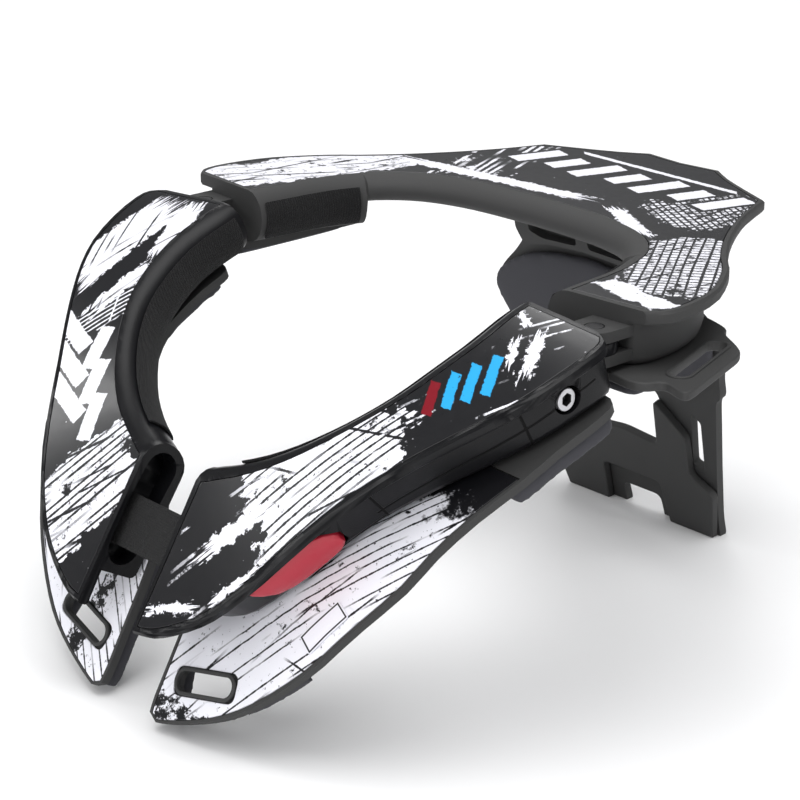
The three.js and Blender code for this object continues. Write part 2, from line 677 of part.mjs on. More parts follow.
const chestTop = -CHEST_SETBACK;
const foamTop = chestTop - CHEST_THICK - CLEARANCE;
const recessSlack = CLEARANCE / ROW_LENGTH;
const panelRecess = chestLayer(
  CHEST_PANEL_ROWS[0] - recessSlack, CHEST_PANEL_ROWS[1] + recessSlack,
  chestTop + 1, 1 + PANEL_THICK, CHEST_BORDER - CLEARANCE);
const chestPlate = cut(
  chestLayer(0, CHEST_LAST, chestTop, CHEST_THICK, 0), panelRecess, chestSlot(0));
const chestPanel = cut(
  chestLayer(...CHEST_PANEL_ROWS, chestTop, PANEL_THICK - CLEARANCE, CHEST_BORDER),
  chestSlot(SLOT_FRAME));
const frontFoam = cut(
  chestLayer(...FRONT_FOAM_ROWS, foamTop, FRONT_FOAM, FOAM_INSET),
  chestSlot(SLOT_FRAME, 3 * SLOT_FRAME));
const rearFoam = chestLayer(...REAR_FOAM_ROWS, foamTop, REAR_FOAM, FOAM_INSET, 4 * FOAM_INSET);

// Hook-and-loop strips on the neck rims

function rimStrip(rows, from, to, onPlan, place) {
  return band(rows, from, to, onPlan, place, ({ row }) => {
    const half = BODY_DEPTH * row.depth / 2;
    const ring = (grow) => Array.from({ length: 7 }, (_, i) => {
      const turn = Math.PI * (0.3 + 0.45 * i / 6);
      return [
        RIM_ROUND - (RIM_ROUND + grow) * Math.sin(turn),
        -half + (half + grow) * Math.cos(turn),
      ];
    });
    return [...ring(CLEARANCE), ...ring(CLEARANCE + STRIP_THICK).reverse()];
  });
}

const frontStrip = rimStrip(SHELL_ROWS, ...FRONT_STRIP_ROWS, onShell, frontPlace);
const rearStrip = rimStrip(YOKE_ROWS, ...REAR_STRIP_ROWS, onYoke, rearPlace);

// Shoulder plates with strap tabs, and the foam under them

function flatPlate(outline, thickness, top, holes = []) {
  outline.holes.push(...holes);
  const plate = new THREE.ExtrudeGeometry(outline, {
    depth: thickness, bevelEnabled: false, curveSegments: 4,
  });
  plate.translate(0, 0, top - thickness);
  return mergeVertices(plate.deleteAttribute('normal').deleteAttribute('uv'), 1e-4);
}

function turnedSlot() {
  const [length, width] = [TAB_SLOT_LENGTH / 2, TAB_SLOT_WIDTH / 2];
  const [x, y] = onYoke(TAB_SLOT_CENTRE);
  const corners = [[-width, -length], [width, -length], [width, length], [-width, length]];
  const [c, s] = [Math.cos(TAB_TURN), Math.sin(TAB_TURN)];
  return roundedShape(corners.map(([a, b]) => [x + a * c - b * s, y + a * s + b * c]), SLOT_CORNER);
}

const shoulderTop = PLATE_TOP - BODY_DEPTH - CLEARANCE;
const shoulderPlate = flatPlate(
  roundedShape(SHOULDER_OUTLINE.map(onYoke), 6), SHOULDER_THICK, shoulderTop, [turnedSlot()]);
const padTop = shoulderTop - SHOULDER_THICK - CLEARANCE;
const shoulderPad = flatPlate(
  roundedShape(SHOULDER_PAD_OUTLINE.map(onYoke), 6), SHOULDER_FOAM, padTop);

for (const [side, turn] of [['left', (g) => g], ['right', mirrored]]) {
  addPiece(`${side}_top_panel`, turn(shellPanel(0)), PRINTED);
  addPiece(`${side}_chest_plate`, turn(chestPlate), MOULDED);
  addPiece(`${side}_chest_panel`, turn(chestPanel), PRINTED);
  addPiece(`${side}_rear_chest_pad`, turn(rearFoam), FOAM);
  addPiece(`${side}_front_chest_pad`, turn(frontFoam), FOAM);
  addPiece(`${side}_front_hook_strip`, turn(frontStrip), VELOUR);
  addPiece(`${side}_rear_hook_strip`, turn(rearStrip), VELOUR);
  addPiece(`${side}_clamp_screw`, turn(clampScrew), STEEL);
  addPiece(`${side}_hinge_pin`, turn(geometryOf(solidOf(hingePin))), STEEL);
  addPiece(`${side}_shoulder_plate`, turn(shoulderPlate), MOULDED);
  addPiece(`${side}_shoulder_pad`, turn(shoulderPad), FOAM);
}

// Back support: a leaning base plate, a leg frame and a pad in front of it

function symmetricOutline(half) {
  const points = half.map(([across, up]) => [across * SUPPORT_HALF, up * SUPPORT_HEIGHT]);
  const other = points.filter(([x]) => x > 0).reverse().map(([x, up]) => [-x, up]);
  return [...points, ...other];
}

function leaning(shape, front) {
  const plate = new THREE.ExtrudeGeometry(shape, {
    depth: SUPPORT_LAYER, bevelEnabled: false, curveSegments: 4,
  });
  plate.rotateX(Math.PI / 2);
  plate.translate(0, front + SUPPORT_LAYER, 0);
  plate.rotateX(SUPPORT_LEAN);
  plate.translate(0, SUPPORT_FOOT_Y, 0);
  return cut(plate, boxBetween(
    [-HALF_WIDTH, 0, -PLATE_TOP], [HALF_WIDTH, 2 * REAR_LENGTH, 0]));
}

const baseShape = roundedShape(symmetricOutline(BASE_OUTLINE), 4);
baseShape.holes.push(roundedShape(symmetricOutline(BASE_WINDOW), 5));
const sideWindow = SIDE_WINDOW.map(([across, up]) => [across * SUPPORT_HALF, up * SUPPORT_HEIGHT]);
baseShape.holes.push(roundedShape(sideWindow, 1.5));
baseShape.holes.push(roundedShape(sideWindow.map(([x, up]) => [-x, up]).reverse(), 1.5));
const legPoints = symmetricOutline([...LEG_OUTLINE, [0, 0.142]]);
const legTops = [[-0.30, CROSSBAR_TOP], [0, CROSSBAR_TOP + 0.015], [0.30, CROSSBAR_TOP]];
const legShape = roundedShape(
  [...legPoints, ...legTops.map(([a, up]) => [a * SUPPORT_HALF, up * SUPPORT_HEIGHT])], 3);
const padShape = roundedShape(symmetricOutline(PAD_OUTLINE), 6);

addPiece('back_support_plate', leaning(baseShape, SUPPORT_LAYER + CLEARANCE), MOULDED);
addPiece('back_leg_frame', leaning(legShape, 0), MOULDED);
addPiece('back_support_pad', leaning(padShape, 0), FOAM);

// Clamp in front of the plate's neck, and the bracket behind it that holds the
// whole back support under the yoke
const clampShape = roundedShape(symmetricOutline(CLAMP_OUTLINE), 3);
const clampPocket = CLAMP_POCKET.map(([across, up]) => [across * SUPPORT_HALF, up * SUPPORT_HEIGHT]);
clampShape.holes.push(roundedShape(clampPocket, 2));
clampShape.holes.push(roundedShape(clampPocket.map(([x, up]) => [-x, up]).reverse(), 2));
addPiece('support_clamp', leaning(clampShape, 0), MOULDED);

function behindSupport(height) {
  const layers = 2 * (SUPPORT_LAYER + CLEARANCE) / Math.cos(SUPPORT_LEAN);
  return SUPPORT_FOOT_Y - height * Math.tan(SUPPORT_LEAN) + layers;
}

const bracketTop = PLATE_TOP - LIP_DEPTH - CLEARANCE;
const bracketLow = bracketTop - BRACKET_DEPTH;
const bracketBack = behindSupport(bracketLow) + BRACKET_LENGTH;
const bracketProfile = roundedShape([
  [behindSupport(bracketLow), bracketLow], [bracketBack - BRACKET_LENGTH / 3, bracketLow],
  [bracketBack, bracketTop], [behindSupport(bracketTop), bracketTop],
], 1.5);
const bracket = new THREE.ExtrudeGeometry(bracketProfile, {
  depth: BRACKET_WIDTH, bevelEnabled: false, curveSegments: 4,
});
bracket.rotateX(Math.PI / 2);
bracket.rotateZ(Math.PI / 2);
bracket.translate(-BRACKET_WIDTH / 2, 0, 0);
addPiece('support_bracket', geometryOf(solidOf(bracket)), MOULDED);

// Set the brace on the floor with the origin at the middle of its footprint
const bounds = new THREE.Box3().setFromObject(brace);
const centre = bounds.getCenter(new THREE.Vector3());
brace.position.set(-centre.x, -centre.y, -bounds.min.z);

export default brace;
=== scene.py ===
import json
import math

import bpy
import numpy as np
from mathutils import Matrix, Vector


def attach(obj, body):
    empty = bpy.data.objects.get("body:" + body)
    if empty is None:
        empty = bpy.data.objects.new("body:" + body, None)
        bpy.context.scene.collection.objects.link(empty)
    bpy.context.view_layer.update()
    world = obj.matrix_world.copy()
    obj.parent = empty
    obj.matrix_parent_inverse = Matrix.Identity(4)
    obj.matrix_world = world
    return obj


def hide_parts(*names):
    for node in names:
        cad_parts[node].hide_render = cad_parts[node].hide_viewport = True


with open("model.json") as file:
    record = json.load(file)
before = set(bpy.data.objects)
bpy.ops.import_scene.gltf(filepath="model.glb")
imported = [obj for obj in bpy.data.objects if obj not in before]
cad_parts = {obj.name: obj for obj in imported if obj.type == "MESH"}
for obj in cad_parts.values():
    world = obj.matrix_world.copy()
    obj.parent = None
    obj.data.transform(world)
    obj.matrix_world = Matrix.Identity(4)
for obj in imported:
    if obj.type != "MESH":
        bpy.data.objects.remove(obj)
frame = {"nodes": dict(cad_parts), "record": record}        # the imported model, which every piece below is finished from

bl_info = {
    "name": "Motocross Neck Brace",
    "version": (1, 0, 0),
    "blender": (4, 5, 0),
    "location": "View3D > Sidebar > Neck Brace",
    "description": "Finishes the mouldings, printed panels, foam and fittings of a neck brace",
    "category": "Object",
}

NODES = frame["nodes"]
BODY_OF = {
    node: body
    for body, members in frame["record"]["behaviour"]["bodies"].items()
    for node in members
}
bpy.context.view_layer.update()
MM = 0.001
SIDES = ("left", "right")

# The front shells' curve seen from the side, in millimetres: an arc about an
# axis along X, then a straight run down to the tips.
CURVE_RADIUS = 195.0
CURVE_START = (-25.5, 156.7)
START_ANGLE = math.radians(15.2)
END_ANGLE = math.radians(60.0)
ARC_LENGTH = CURVE_RADIUS * (END_ANGLE - START_ANGLE)
ARC_CENTRE = (
    CURVE_START[0] + CURVE_RADIUS * math.sin(START_ANGLE),
    CURVE_START[1] - CURVE_RADIUS * math.cos(START_ANGLE),
)
MAP_SCALE = 100.0        # millimetres to one unit of a UV map

# Grooves in the front shells' outer walls, in millimetres. Each runs from one length
# down the curve to another. The long one sinks as it runs forward, and the short one
# lies under its front end.
WALL = (-21.4, -4.6)     # the wall's underside and top, as heights over the curve
GROOVE_HALF = 0.40
CROSS_GROOVES = (48.6, 99.0)
LONG_GROOVE = (17.0, 101.0)
LONG_GROOVE_SINK = 10.4
LONG_GROOVE_SLOPE = 0.055
SHORT_GROOVE = (99.0, 119.0)
SHORT_GROOVE_HALF = 0.48
SHORT_GROOVE_DROP = 3.5

# The row of slanted bars on the yoke's print, in millimetres and degrees
YOKE_BARS = 7
YOKE_BAR_FIRST = (-50.0, 117.0)
YOKE_BAR_PITCH = 17.5
YOKE_BAR_TURN = 72.0

# Places of the trims, in millimetres: on the front as (x, length down the curve), with
# heights over the curve, and on the shoulder plates as (x, y) with heights as z.
RING_SIDES = 40          # vertices round a slot frame's ends
CHEST_SLOT = (37.08, 187.98)
CHEST_SLOT_TURN = -13.6
TAB_SLOT = (131.67, 14.23)
TAB_SLOT_TURN = 108.5
TAG_SIZE = (22.0, 8.6)
TAG_PLACE = (81.75, 149.25)
TAG_TURN = -61.5
TAG_HEIGHT = -24.3
TAG_THICK = 0.4
TAG_CORNER = 1.1
SOCKET_RADIUS = 2.45     # a clamp screw's hex socket, corner to middle

SMOOTH_ANGLE = math.radians(38.0)    # faces that meet at less are shaded as one
CLOTH_FRAMES = 12        # steps that a pad is blown up for
CLOTH_PRESSURE = 4.0
CLOTH_STIFFNESS = 12.0
CLOTH_MASS = 0.15
SMOOTH_STEPS = 14

# The stage, in metres and watts. A soft light is a square: name, place, side, power.
SOFT_LIGHTS = (
    ("overhead", (0.2, -0.1, 1.8), 1.3, 12.0),
    ("front", (0.5, -1.7, 0.75), 0.9, 10.0),
    ("left_strip", (-1.4, -0.7, 0.8), 0.4, 4.0),
    ("back", (-1.3, 1.1, 1.5), 0.7, 6.0),
    ("right_strip", (1.6, 0.3, 0.8), 0.3, 3.5),
)
LIGHT_AIM = (0.0, 0.0, 0.08)
SKY_PLACE = (0.3, -0.4, 2.0)
SKY_TILT = (math.radians(12.0), math.radians(8.0), 0.0)
SKY_STRENGTH = 1.9
SKY_SPREAD = math.radians(70.0)
WORLD_COLOUR = (0.93, 0.94, 0.96, 1.0)
WORLD_STRENGTH = 0.24
FLOOR_SIDE = 60.0
CAMERA_PLACE = (0.6334, -0.5877, 0.4130)
CAMERA_ELEVATION = math.radians(20.655)
CAMERA_AZIMUTH = math.radians(47.665)
CAMERA_LENS = 103.5      # millimetres, for a sensor 36 mm wide
CAMERA_SENSOR = 36.0


# Sizes and colours that a user would change


class BraceSizes(bpy.types.PropertyGroup):
    """Edge roundings and pad fullness."""

    shell_edge: bpy.props.FloatProperty(
        name="Shell edge", description="Rounding of the cut edges in the shells",
        default=0.35 * MM, min=0.0, unit="LENGTH")
    plate_edge: bpy.props.FloatProperty(
        name="Plate edge", description="Rounding along the edges of the plates",
        default=1.1 * MM, min=0.0, unit="LENGTH")
    film_edge: bpy.props.FloatProperty(
        name="Film edge", description="Rounding along the edges of the printed panels",
        default=0.35 * MM, min=0.0, unit="LENGTH")
    pad_voxel: bpy.props.FloatProperty(
        name="Pad grid", description="Size of the mesh that a pad is blown up on",
        default=1.2 * MM, min=0.5 * MM, unit="LENGTH")
    pad_swell: bpy.props.FloatProperty(
        name="Pad swell", description="The furthest that a point of a pad may swell",
        default=1.3 * MM, min=0.0, unit="LENGTH")


class BraceColours(bpy.types.PropertyGroup):
    """Colours of the finishes."""

    moulded: bpy.props.FloatVectorProperty(
        name="Mouldings", description="Black moulded plastic", subtype="COLOR", size=3,
        default=(0.0055, 0.0055, 0.0065), min=0.0, max=1.0)
    ink: bpy.props.FloatVectorProperty(
        name="Ink", description="Black of the printed panels", subtype="COLOR", size=3,
        default=(0.0060, 0.0060, 0.0075), min=0.0, max=1.0)
    paper: bpy.props.FloatVectorProperty(
        name="White print", description="White of the printed panels", subtype="COLOR", size=3,
        default=(0.84, 0.84, 0.90), min=0.0, max=1.0)
    accent: bpy.props.FloatVectorProperty(
        name="Blue print", description="Blue bars on the left panel", subtype="COLOR", size=3,
        default=(0.02, 0.36, 0.72), min=0.0, max=1.0)
    foam: bpy.props.FloatVectorProperty(
        name="Foam", description="Dark grey closed-cell foam", subtype="COLOR", size=3,
        default=(0.018, 0.0185, 0.021), min=0.0, max=1.0)
    pile: bpy.props.FloatVectorProperty(
        name="Hook pile", description="Black ribbed strips on the neck rim", subtype="COLOR",
        size=3, default=(0.008, 0.008, 0.0085), min=0.0, max=1.0)
    button: bpy.props.FloatVectorProperty(
        name="Button", description="Red release button", subtype="COLOR", size=3,
        default=(0.20, 0.002, 0.010), min=0.0, max=1.0)
    floor: bpy.props.FloatVectorProperty(
        name="Floor", description="Pale floor", subtype="COLOR", size=3,
        default=(0.90, 0.90, 0.905), min=0.0, max=1.0)


# Shader maths: a number or vector in a material, which Python's operators extend


class Value:
    """A socket of a material's node tree."""

    def __init__(self, shader, socket):
        self.shader = shader
        self.socket = socket

    def maths(self, operation, *others):
        return self.shader.node("ShaderNodeMath", {"operation": operation}, [self, *others])

    def __add__(self, other):
        return self.maths("ADD", other)

    __radd__ = __add__

    def __sub__(self, other):
        return self.maths("SUBTRACT", other)

    def __rsub__(self, other):
        return self.maths("MULTIPLY_ADD", -1.0, other)

    def __mul__(self, other):
        return self.maths("MULTIPLY", other)

    __rmul__ = __mul__

    def __truediv__(self, other):
        return self.maths("DIVIDE", other)

    def __abs__(self):
        return self.maths("ABSOLUTE")

    def low(self, other):
        return self.maths("MINIMUM", other)

    def high(self, other):
        return self.maths("MAXIMUM", other)

    def part(self):
        return self.maths("FRACT")

    def whole(self):
        return self.maths("FLOOR")

    def clipped(self):
        return self.shader.node(
            "ShaderNodeClamp", {}, {"Value": self, "Min": 0.0, "Max": 1.0})


class Shader:
    """One material and the nodes in it."""

    def __init__(self, name):
        self.material = bpy.data.materials.new(name)
        self.material.use_nodes = True
        self.tree = self.material.node_tree
        self.surface = self.tree.nodes["Principled BSDF"]

    def node(self, kind, settings, sockets, out=0):
        """A node with its settings made first, then its sockets by place or by name."""
        made = self.tree.nodes.new(kind)
        for name, value in settings.items():
            setattr(made, name, value)
        pairs = enumerate(sockets) if isinstance(sockets, list) else sockets.items()
        for place, value in pairs:
            self.feed(made.inputs[place], value)
        return Value(self, made.outputs[out])

    def feed(self, socket, value):
        """Links a value to a socket, or sets a constant there."""
        if isinstance(value, Value):
            self.tree.links.new(value.socket, socket)
        else:
            socket.default_value = value

    def place(self):
        """Object coordinates, in metres."""
        return self.node("ShaderNodeTexCoord", {}, [], out="Object")

    def flat(self, name="flat"):
        """The piece's own flat map: two lengths in millimetres."""
        first, second = self.split(self.node("ShaderNodeUVMap", {"uv_map": name}, []))
        return first * MAP_SCALE, second * MAP_SCALE

    def split(self, vector):
        """The first two parts of a vector or a colour."""
        parts = self.tree.nodes.new("ShaderNodeSeparateXYZ")
        self.feed(parts.inputs[0], vector)
        return Value(self, parts.outputs[0]), Value(self, parts.outputs[1])

    def vector(self, x, y, z=0.0):
        return self.node("ShaderNodeCombineXYZ", {}, [x, y, z])

    def noise(self, where, scale, detail=2.0, roughness=0.5):
        return self.node("ShaderNodeTexNoise", {"noise_dimensions": "3D"}, {
            "Vector": where, "Scale": scale, "Detail": detail, "Roughness": roughness})

    def cells(self, where, scale, out="Distance"):
        return self.node(
            "ShaderNodeTexVoronoi", {"feature": "F1"}, {"Vector": where, "Scale": scale}, out=out)

    def mixed(self, factor, first, second):
        """A mix of two colours, each a value or a constant."""
        mix = self.tree.nodes.new("ShaderNodeMix")
        mix.data_type = "RGBA"
        self.feed(mix.inputs["Factor"], factor)
        for socket, colour in ((mix.inputs[6], first), (mix.inputs[7], second)):
            self.feed(socket, colour if isinstance(colour, Value) else (*colour, 1.0))
        return Value(self, mix.outputs[2])

    def bumped(self, height, distance, strength=1.0):
        """Bump from a height map, whose full height is a distance in metres."""
        bump = self.node("ShaderNodeBump", {}, {
            "Height": height, "Distance": distance, "Strength": strength})
        self.feed(self.surface.inputs["Normal"], bump)

    def finish(self, **sockets):
        """Feeds the surface's sockets, named with _ for a space, and gives the material."""
        for name, value in sockets.items():
            socket = self.surface.inputs[name.replace("_", " ")]
            if isinstance(value, tuple):
                value = (*value, 1.0)
            self.feed(socket, value)
        return self.material


# Finishes


def moulded_plastic(name, colour, grooves=False):
    """Satin black plastic with a fine spark grain and a few rubbed places; on the walls its
    grooves are painted black as painted shade.
    """
    shader = Shader(name)
    place = shader.place()
    grain = shader.noise(place, scale=2600.0, detail=1.0)
    cloud = shader.noise(place, scale=26.0, detail=3.0)
    rubbed = shader.noise(place, scale=140.0, detail=5.0, roughness=0.7)
    height = grain * 0.35 + cloud * 0.4
    sunk = wall_grooves(shader) if grooves else 0.0
    if grooves:
        height = height - sunk * 7.0
    shader.bumped(height, distance=0.00018, strength=0.8)
    worn = ((rubbed - 0.62) * 9.0).clipped()
    light = tuple(2.2 * part + 0.006 for part in colour)
    shade = shader.mixed(worn * 0.35, colour, light)
    # Where the grooves sink, the colour is mixed to pure black: painted shade in the grooves,
    # over their bump.
    if grooves:
        shade = shader.mixed(sunk, shade, (0.0, 0.0, 0.0))
    return shader.finish(
        Base_Color=shade,
        Roughness=0.24 + 0.12 * cloud + 0.12 * worn + 0.4 * sunk,
        Specular_IOR_Level=0.20,
    )


def wall_grooves(shader):
    """Sunk lines along and across the outer wall, over (length down the curve, height)."""
    along, height = shader.flat("wall")
    sunk = height + (LONG_GROOVE_SLOPE * along + LONG_GROOVE_SINK)
    long_one = line(abs(sunk), GROOVE_HALF) * within(along, LONG_GROOVE, 2.0)
    short_one = line(abs(sunk + SHORT_GROOVE_DROP), SHORT_GROOVE_HALF)
    short_one = short_one * within(along, SHORT_GROOVE, 2.0)
    across = either(*(line(abs(along - at), GROOVE_HALF) for at in CROSS_GROOVES))
    return either(long_one, across, short_one) * within(height, WALL, 3.0)


def within(length, ends, sharpness):
    """1 between two ends and 0 past them."""
    start, end = ends
    return ((length - start) * sharpness).clipped() * ((end - length) * sharpness).clipped()


def line(distance, half_width):
    """1 on a line and 0 off it, from the distance to its middle."""
    return ((half_width - distance) * 5.0 + 0.5).clipped()


class Print:
    """Masks over a printed panel's flat map, each from 0 for black to 1 for white.

    Centres, lengths, widths and pitches are in millimetres and turns in degrees. A seed
    gives each mark a ragged edge of its own.
    """

    def __init__(self, shader):
        self.shader = shader
        self.x, self.y = shader.flat()

    def turned(self, centre, degrees):
        """Lengths along and across a direction, from a centre."""
        c, s = math.cos(math.radians(degrees)), math.sin(math.radians(degrees))
        along = self.x * c + self.y * s - (centre[0] * c + centre[1] * s)
        across = self.y * c - self.x * s - (centre[1] * c - centre[0] * s)
        return along, across

    def field(self, x, y, seed, **settings):
        """Noise over two lengths, with a pattern of its own for each seed."""
        return self.shader.noise(self.shader.vector(x, y, seed), **settings)

    def brush(self, centre, degrees, length, width, ragged=14.0, seed=0.0):
        """A dry brush stroke: clean at the sides and broken up at its ends."""
        along, across = self.turned(centre, degrees)
        bristle = self.field(
            along * 0.035, across * 0.8, seed, scale=1.0, detail=3.0, roughness=0.6)
        fleck = self.field(along, across, seed, scale=0.32, detail=3.0, roughness=0.7)
        ends = (length / 2 - abs(along)) + (bristle - 0.56) * (ragged * 4.0)
        sides = (width / 2 - abs(across)) + (fleck - 0.5) * 5.0
        return ((ends.low(sides * 1.5) + (fleck - 0.5) * 4.0) * 1.6 + 0.5).clipped()

    def bar(self, centre, degrees, length, width, seed=0.0, slant=0.0):
        """A solid bar with slanted ends and chipped edges."""
        along, across = self.turned(centre, degrees)
        along = along + across * slant
        chip = self.field(along, across, seed, scale=0.42, detail=4.0, roughness=0.75)
        inside = (length / 2 - abs(along)).low(width / 2 - abs(across))
        whole = ((inside + (chip - 0.52) * 2.2) * 3.0 + 0.5).clipped()
        return whole * (1.0 - ((chip - 0.66) * 18.0).clipped())

    def lines(self, degrees, pitch, width, seed=0.0, kept=0.5):
        """Thin, nearly straight scratches, each broken along its length."""
        along, across = self.turned((0.0, 0.0), degrees)
        drift = self.field(along * 0.008, across * 0.05, seed, scale=1.0, detail=1.0)
        steps = across / pitch + drift * 1.1
        row = steps.whole()
        distance = abs(steps.part() - 0.5) * pitch
        gaps = self.field(along * 0.022, row * 7.3, seed, scale=1.0, detail=2.0)
        shown = ((gaps - (1.0 - kept)) * 14.0).clipped()
        rough = self.field(
            along * 0.35, row * 3.1, seed + 4.0, scale=1.0, detail=3.0, roughness=0.8)
        return ((rough * width - distance) * 4.5 + 0.4).clipped() * shown

    def box(self, centre, degrees, length, width, ragged=8.0, seed=0.0):
        """A patch whose whole edge is torn."""
        along, across = self.turned(centre, degrees)
        torn = self.field(along, across, seed, scale=0.085, detail=5.0, roughness=0.62)
        inside = (length / 2 - abs(along)).low(width / 2 - abs(across))
        return ((inside + (torn - 0.5) * ragged * 2.4) * 1.8 + 0.5).clipped()

    def splatter(self, size, share, seed=0.0):
        """Round drops of uneven size."""
        where = self.shader.vector(self.x, self.y, seed)
        distance = self.shader.cells(where, 1.0 / size)
        colour = self.shader.cells(where, 1.0 / size, "Color")
        chance, _ = self.shader.split(colour)
        radius = (chance - (1.0 - share)) * 0.55
        return ((radius - distance) * 14.0).clipped()

    def wear(self, scale, threshold, seed=0.0):
        """Clouds with hard edges, where a noise is over a threshold."""
        cloud = self.field(self.x, self.y, seed, scale=scale, detail=6.0, roughness=0.7)
        return ((cloud - threshold) * 22.0).clipped()


def either(*masks):
    """The strongest of some masks at each place."""
    total = masks[0]
    for mask in masks[1:]:
        total = total.high(mask)
    return total


def grunge(art, seed, amount=0.60):
    """Chips and flecks in a white patch."""
    return either(art.wear(0.10, amount + 0.03, seed), art.wear(0.34, amount + 0.02, seed + 1.0))


def yoke_bars(art, long, short, width):
    """A row of slanted bars across the yoke, long and short by turns."""
    x, y = YOKE_BAR_FIRST
    return either(*(
        art.bar((x + YOKE_BAR_PITCH * i, y), YOKE_BAR_TURN, (long, short)[i % 2], width, 2.0 * i)
        for i in range(YOKE_BARS)))


def yoke_print(art):
    """Mostly black, with slanted white bars, a hatched left arm and a white right arm."""
    bars = either(
        yoke_bars(art, 25.0, 18.0, 9.5), art.bar((4.0, 134.5), -1.0, 88.0, 3.0, 16.0, 1.0))
    arm = art.box((-104.0, 26.0), 77.0, 96.0, 36.0, 12.0, 3.0)
    arm = arm * (1.0 - either(
        art.lines(60.0, 5.0, 1.2, 5.0, 0.50), art.lines(84.0, 8.0, 1.5, 6.0, 0.5),
        grunge(art, 2.0, 0.56)))
    hatched = art.box((101.0, 40.0), 118.0, 70.0, 38.0, 12.0, 7.0)
    net = either(
        art.lines(38.0, 3.2, 1.0, 9.0, 0.80), art.lines(124.0, 3.8, 1.0, 11.0, 0.80),
        art.lines(80.0, 6.0, 1.2, 10.0, 0.5), grunge(art, 12.0, 0.55))
    hatched = hatched * (1.0 - net)
    tip = art.box((110.0, 2.0), 168.0, 38.0, 12.0, 7.0, 13.0) * (1.0 - grunge(art, 14.0))
    rear = art.box((62.0, 112.0), 64.0, 62.0, 40.0, 13.0, 15.0)
    rear = rear * (1.0 - either(
        art.lines(150.0, 2.8, 1.1, 17.0, 0.8), art.lines(58.0, 3.6, 1.1, 18.0, 0.75),
        art.lines(96.0, 5.5, 1.3, 20.0, 0.6), grunge(art, 24.0, 0.54)))
    other = art.box((-58.0, 100.0), 108.0, 66.0, 30.0, 14.0, 25.0)
    other = other * either(art.lines(112.0, 3.4, 1.6, 26.0, 0.55), art.wear(0.10, 0.58, 27.0))
    sweep = art.brush((-38.0, 76.0), 6.0, 104.0, 8.0, 14.0, 19.0)
    low = art.brush((46.0, 70.0), -30.0, 44.0, 7.0, 9.0, 28.0)
    drops = either(
        art.splatter(5.0, 0.30, 21.0) * art.wear(0.03, 0.50, 23.0),
        art.splatter(2.2, 0.24, 22.0) * art.wear(0.04, 0.50, 29.0))
    framed = either(arm, hatched, tip, rear, other, sweep, low, drops)
    return either(framed * (1.0 - yoke_bars(art, 30.0, 30.0, 14.0)), bars)


def left_shell_print(art):
    """Black at both ends, with a torn white middle scored by fine lines."""
    middle = art.box((67.0, 96.0), 128.0, 66.0, 66.0, 15.0, 31.0)
    scored = either(
        art.lines(118.0, 3.6, 1.0, 33.0, 0.60), art.lines(134.0, 6.0, 1.1, 34.0, 0.48),
        art.lines(172.0, 10.0, 1.3, 35.0, 0.45), grunge(art, 36.0, 0.585))
    middle = middle * (1.0 - scored)
    rear = either(
        art.brush((112.0, 27.0), 60.0, 26.0, 5.0, 9.0, 37.0),
        art.brush((104.0, 29.0), 56.0, 20.0, 3.4, 8.0, 38.0),
        art.brush((94.0, 12.0), 30.0, 12.0, 3.0, 6.0, 39.0))
    front = either(
        art.brush((44.0, 132.0), 128.0, 34.0, 7.0, 10.0, 40.0),
        art.brush((56.0, 150.0), 132.0, 26.0, 4.0, 9.0, 41.0),
        art.brush((30.0, 166.0), 158.0, 26.0, 3.5, 8.0, 42.0),
        art.lines(128.0, 3.0, 1.2, 43.0, 0.45) * art.wear(0.045, 0.52, 44.0))
    drops = either(
        art.splatter(4.6, 0.24, 45.0) * art.wear(0.035, 0.50, 46.0),
        art.splatter(2.0, 0.24, 47.0) * art.wear(0.045, 0.47, 48.0))
    return either(middle, rear, front, drops)


def right_shell_print(art):
    """Black with broad white strokes and chevrons, and fine lines beside the rim."""
    strokes = either(
        art.brush((-112.0, 40.0), 96.0, 60.0, 22.0, 14.0, 51.0),
        art.brush((-92.0, 26.0), 64.0, 40.0, 12.0, 10.0, 52.0),
        art.brush((-88.0, 62.0), 104.0, 36.0, 8.0, 9.0, 53.0))
    strokes = strokes * (1.0 - either(
        art.lines(66.0, 4.0, 1.0, 49.0, 0.5), art.lines(110.0, 5.0, 1.1, 50.0, 0.5)))
    chevrons = either(*(
        either(
            art.bar((-94.0 + 10.0 * i, 86.0 + 13.0 * i), 20.0, 30.0, 7.5, 54.0 + i),
            art.bar((-74.0 + 10.0 * i, 89.0 + 13.0 * i), 76.0, 20.0, 7.5, 58.0 + i))
        for i in range(3)))
    fine = either(art.lines(122.0, 2.3, 0.8, 62.0, 0.80), art.lines(60.0, 9.0, 1.0, 61.0, 0.5))
    fine = fine * art.box((-70.0, 64.0), 120.0, 104.0, 26.0, 6.0, 63.0)
    tip = art.box((-40.0, 144.0), 126.0, 60.0, 34.0, 14.0, 64.0)
    tip = tip * (1.0 - either(
        art.lines(126.0, 3.2, 1.1, 65.0, 0.6), art.lines(140.0, 6.0, 1.2, 60.0, 0.5),
        grunge(art, 66.0, 0.575)))
    drops = either(
        art.splatter(5.0, 0.26, 67.0) * art.wear(0.035, 0.48, 68.0),
        art.splatter(2.1, 0.24, 69.0) * art.wear(0.045, 0.47, 70.0))
    around = art.box((-76.0, 104.0), 128.0, 62.0, 34.0, 6.0, 57.0)
    return either(either(strokes, fine, tip, drops) * (1.0 - around), chevrons)


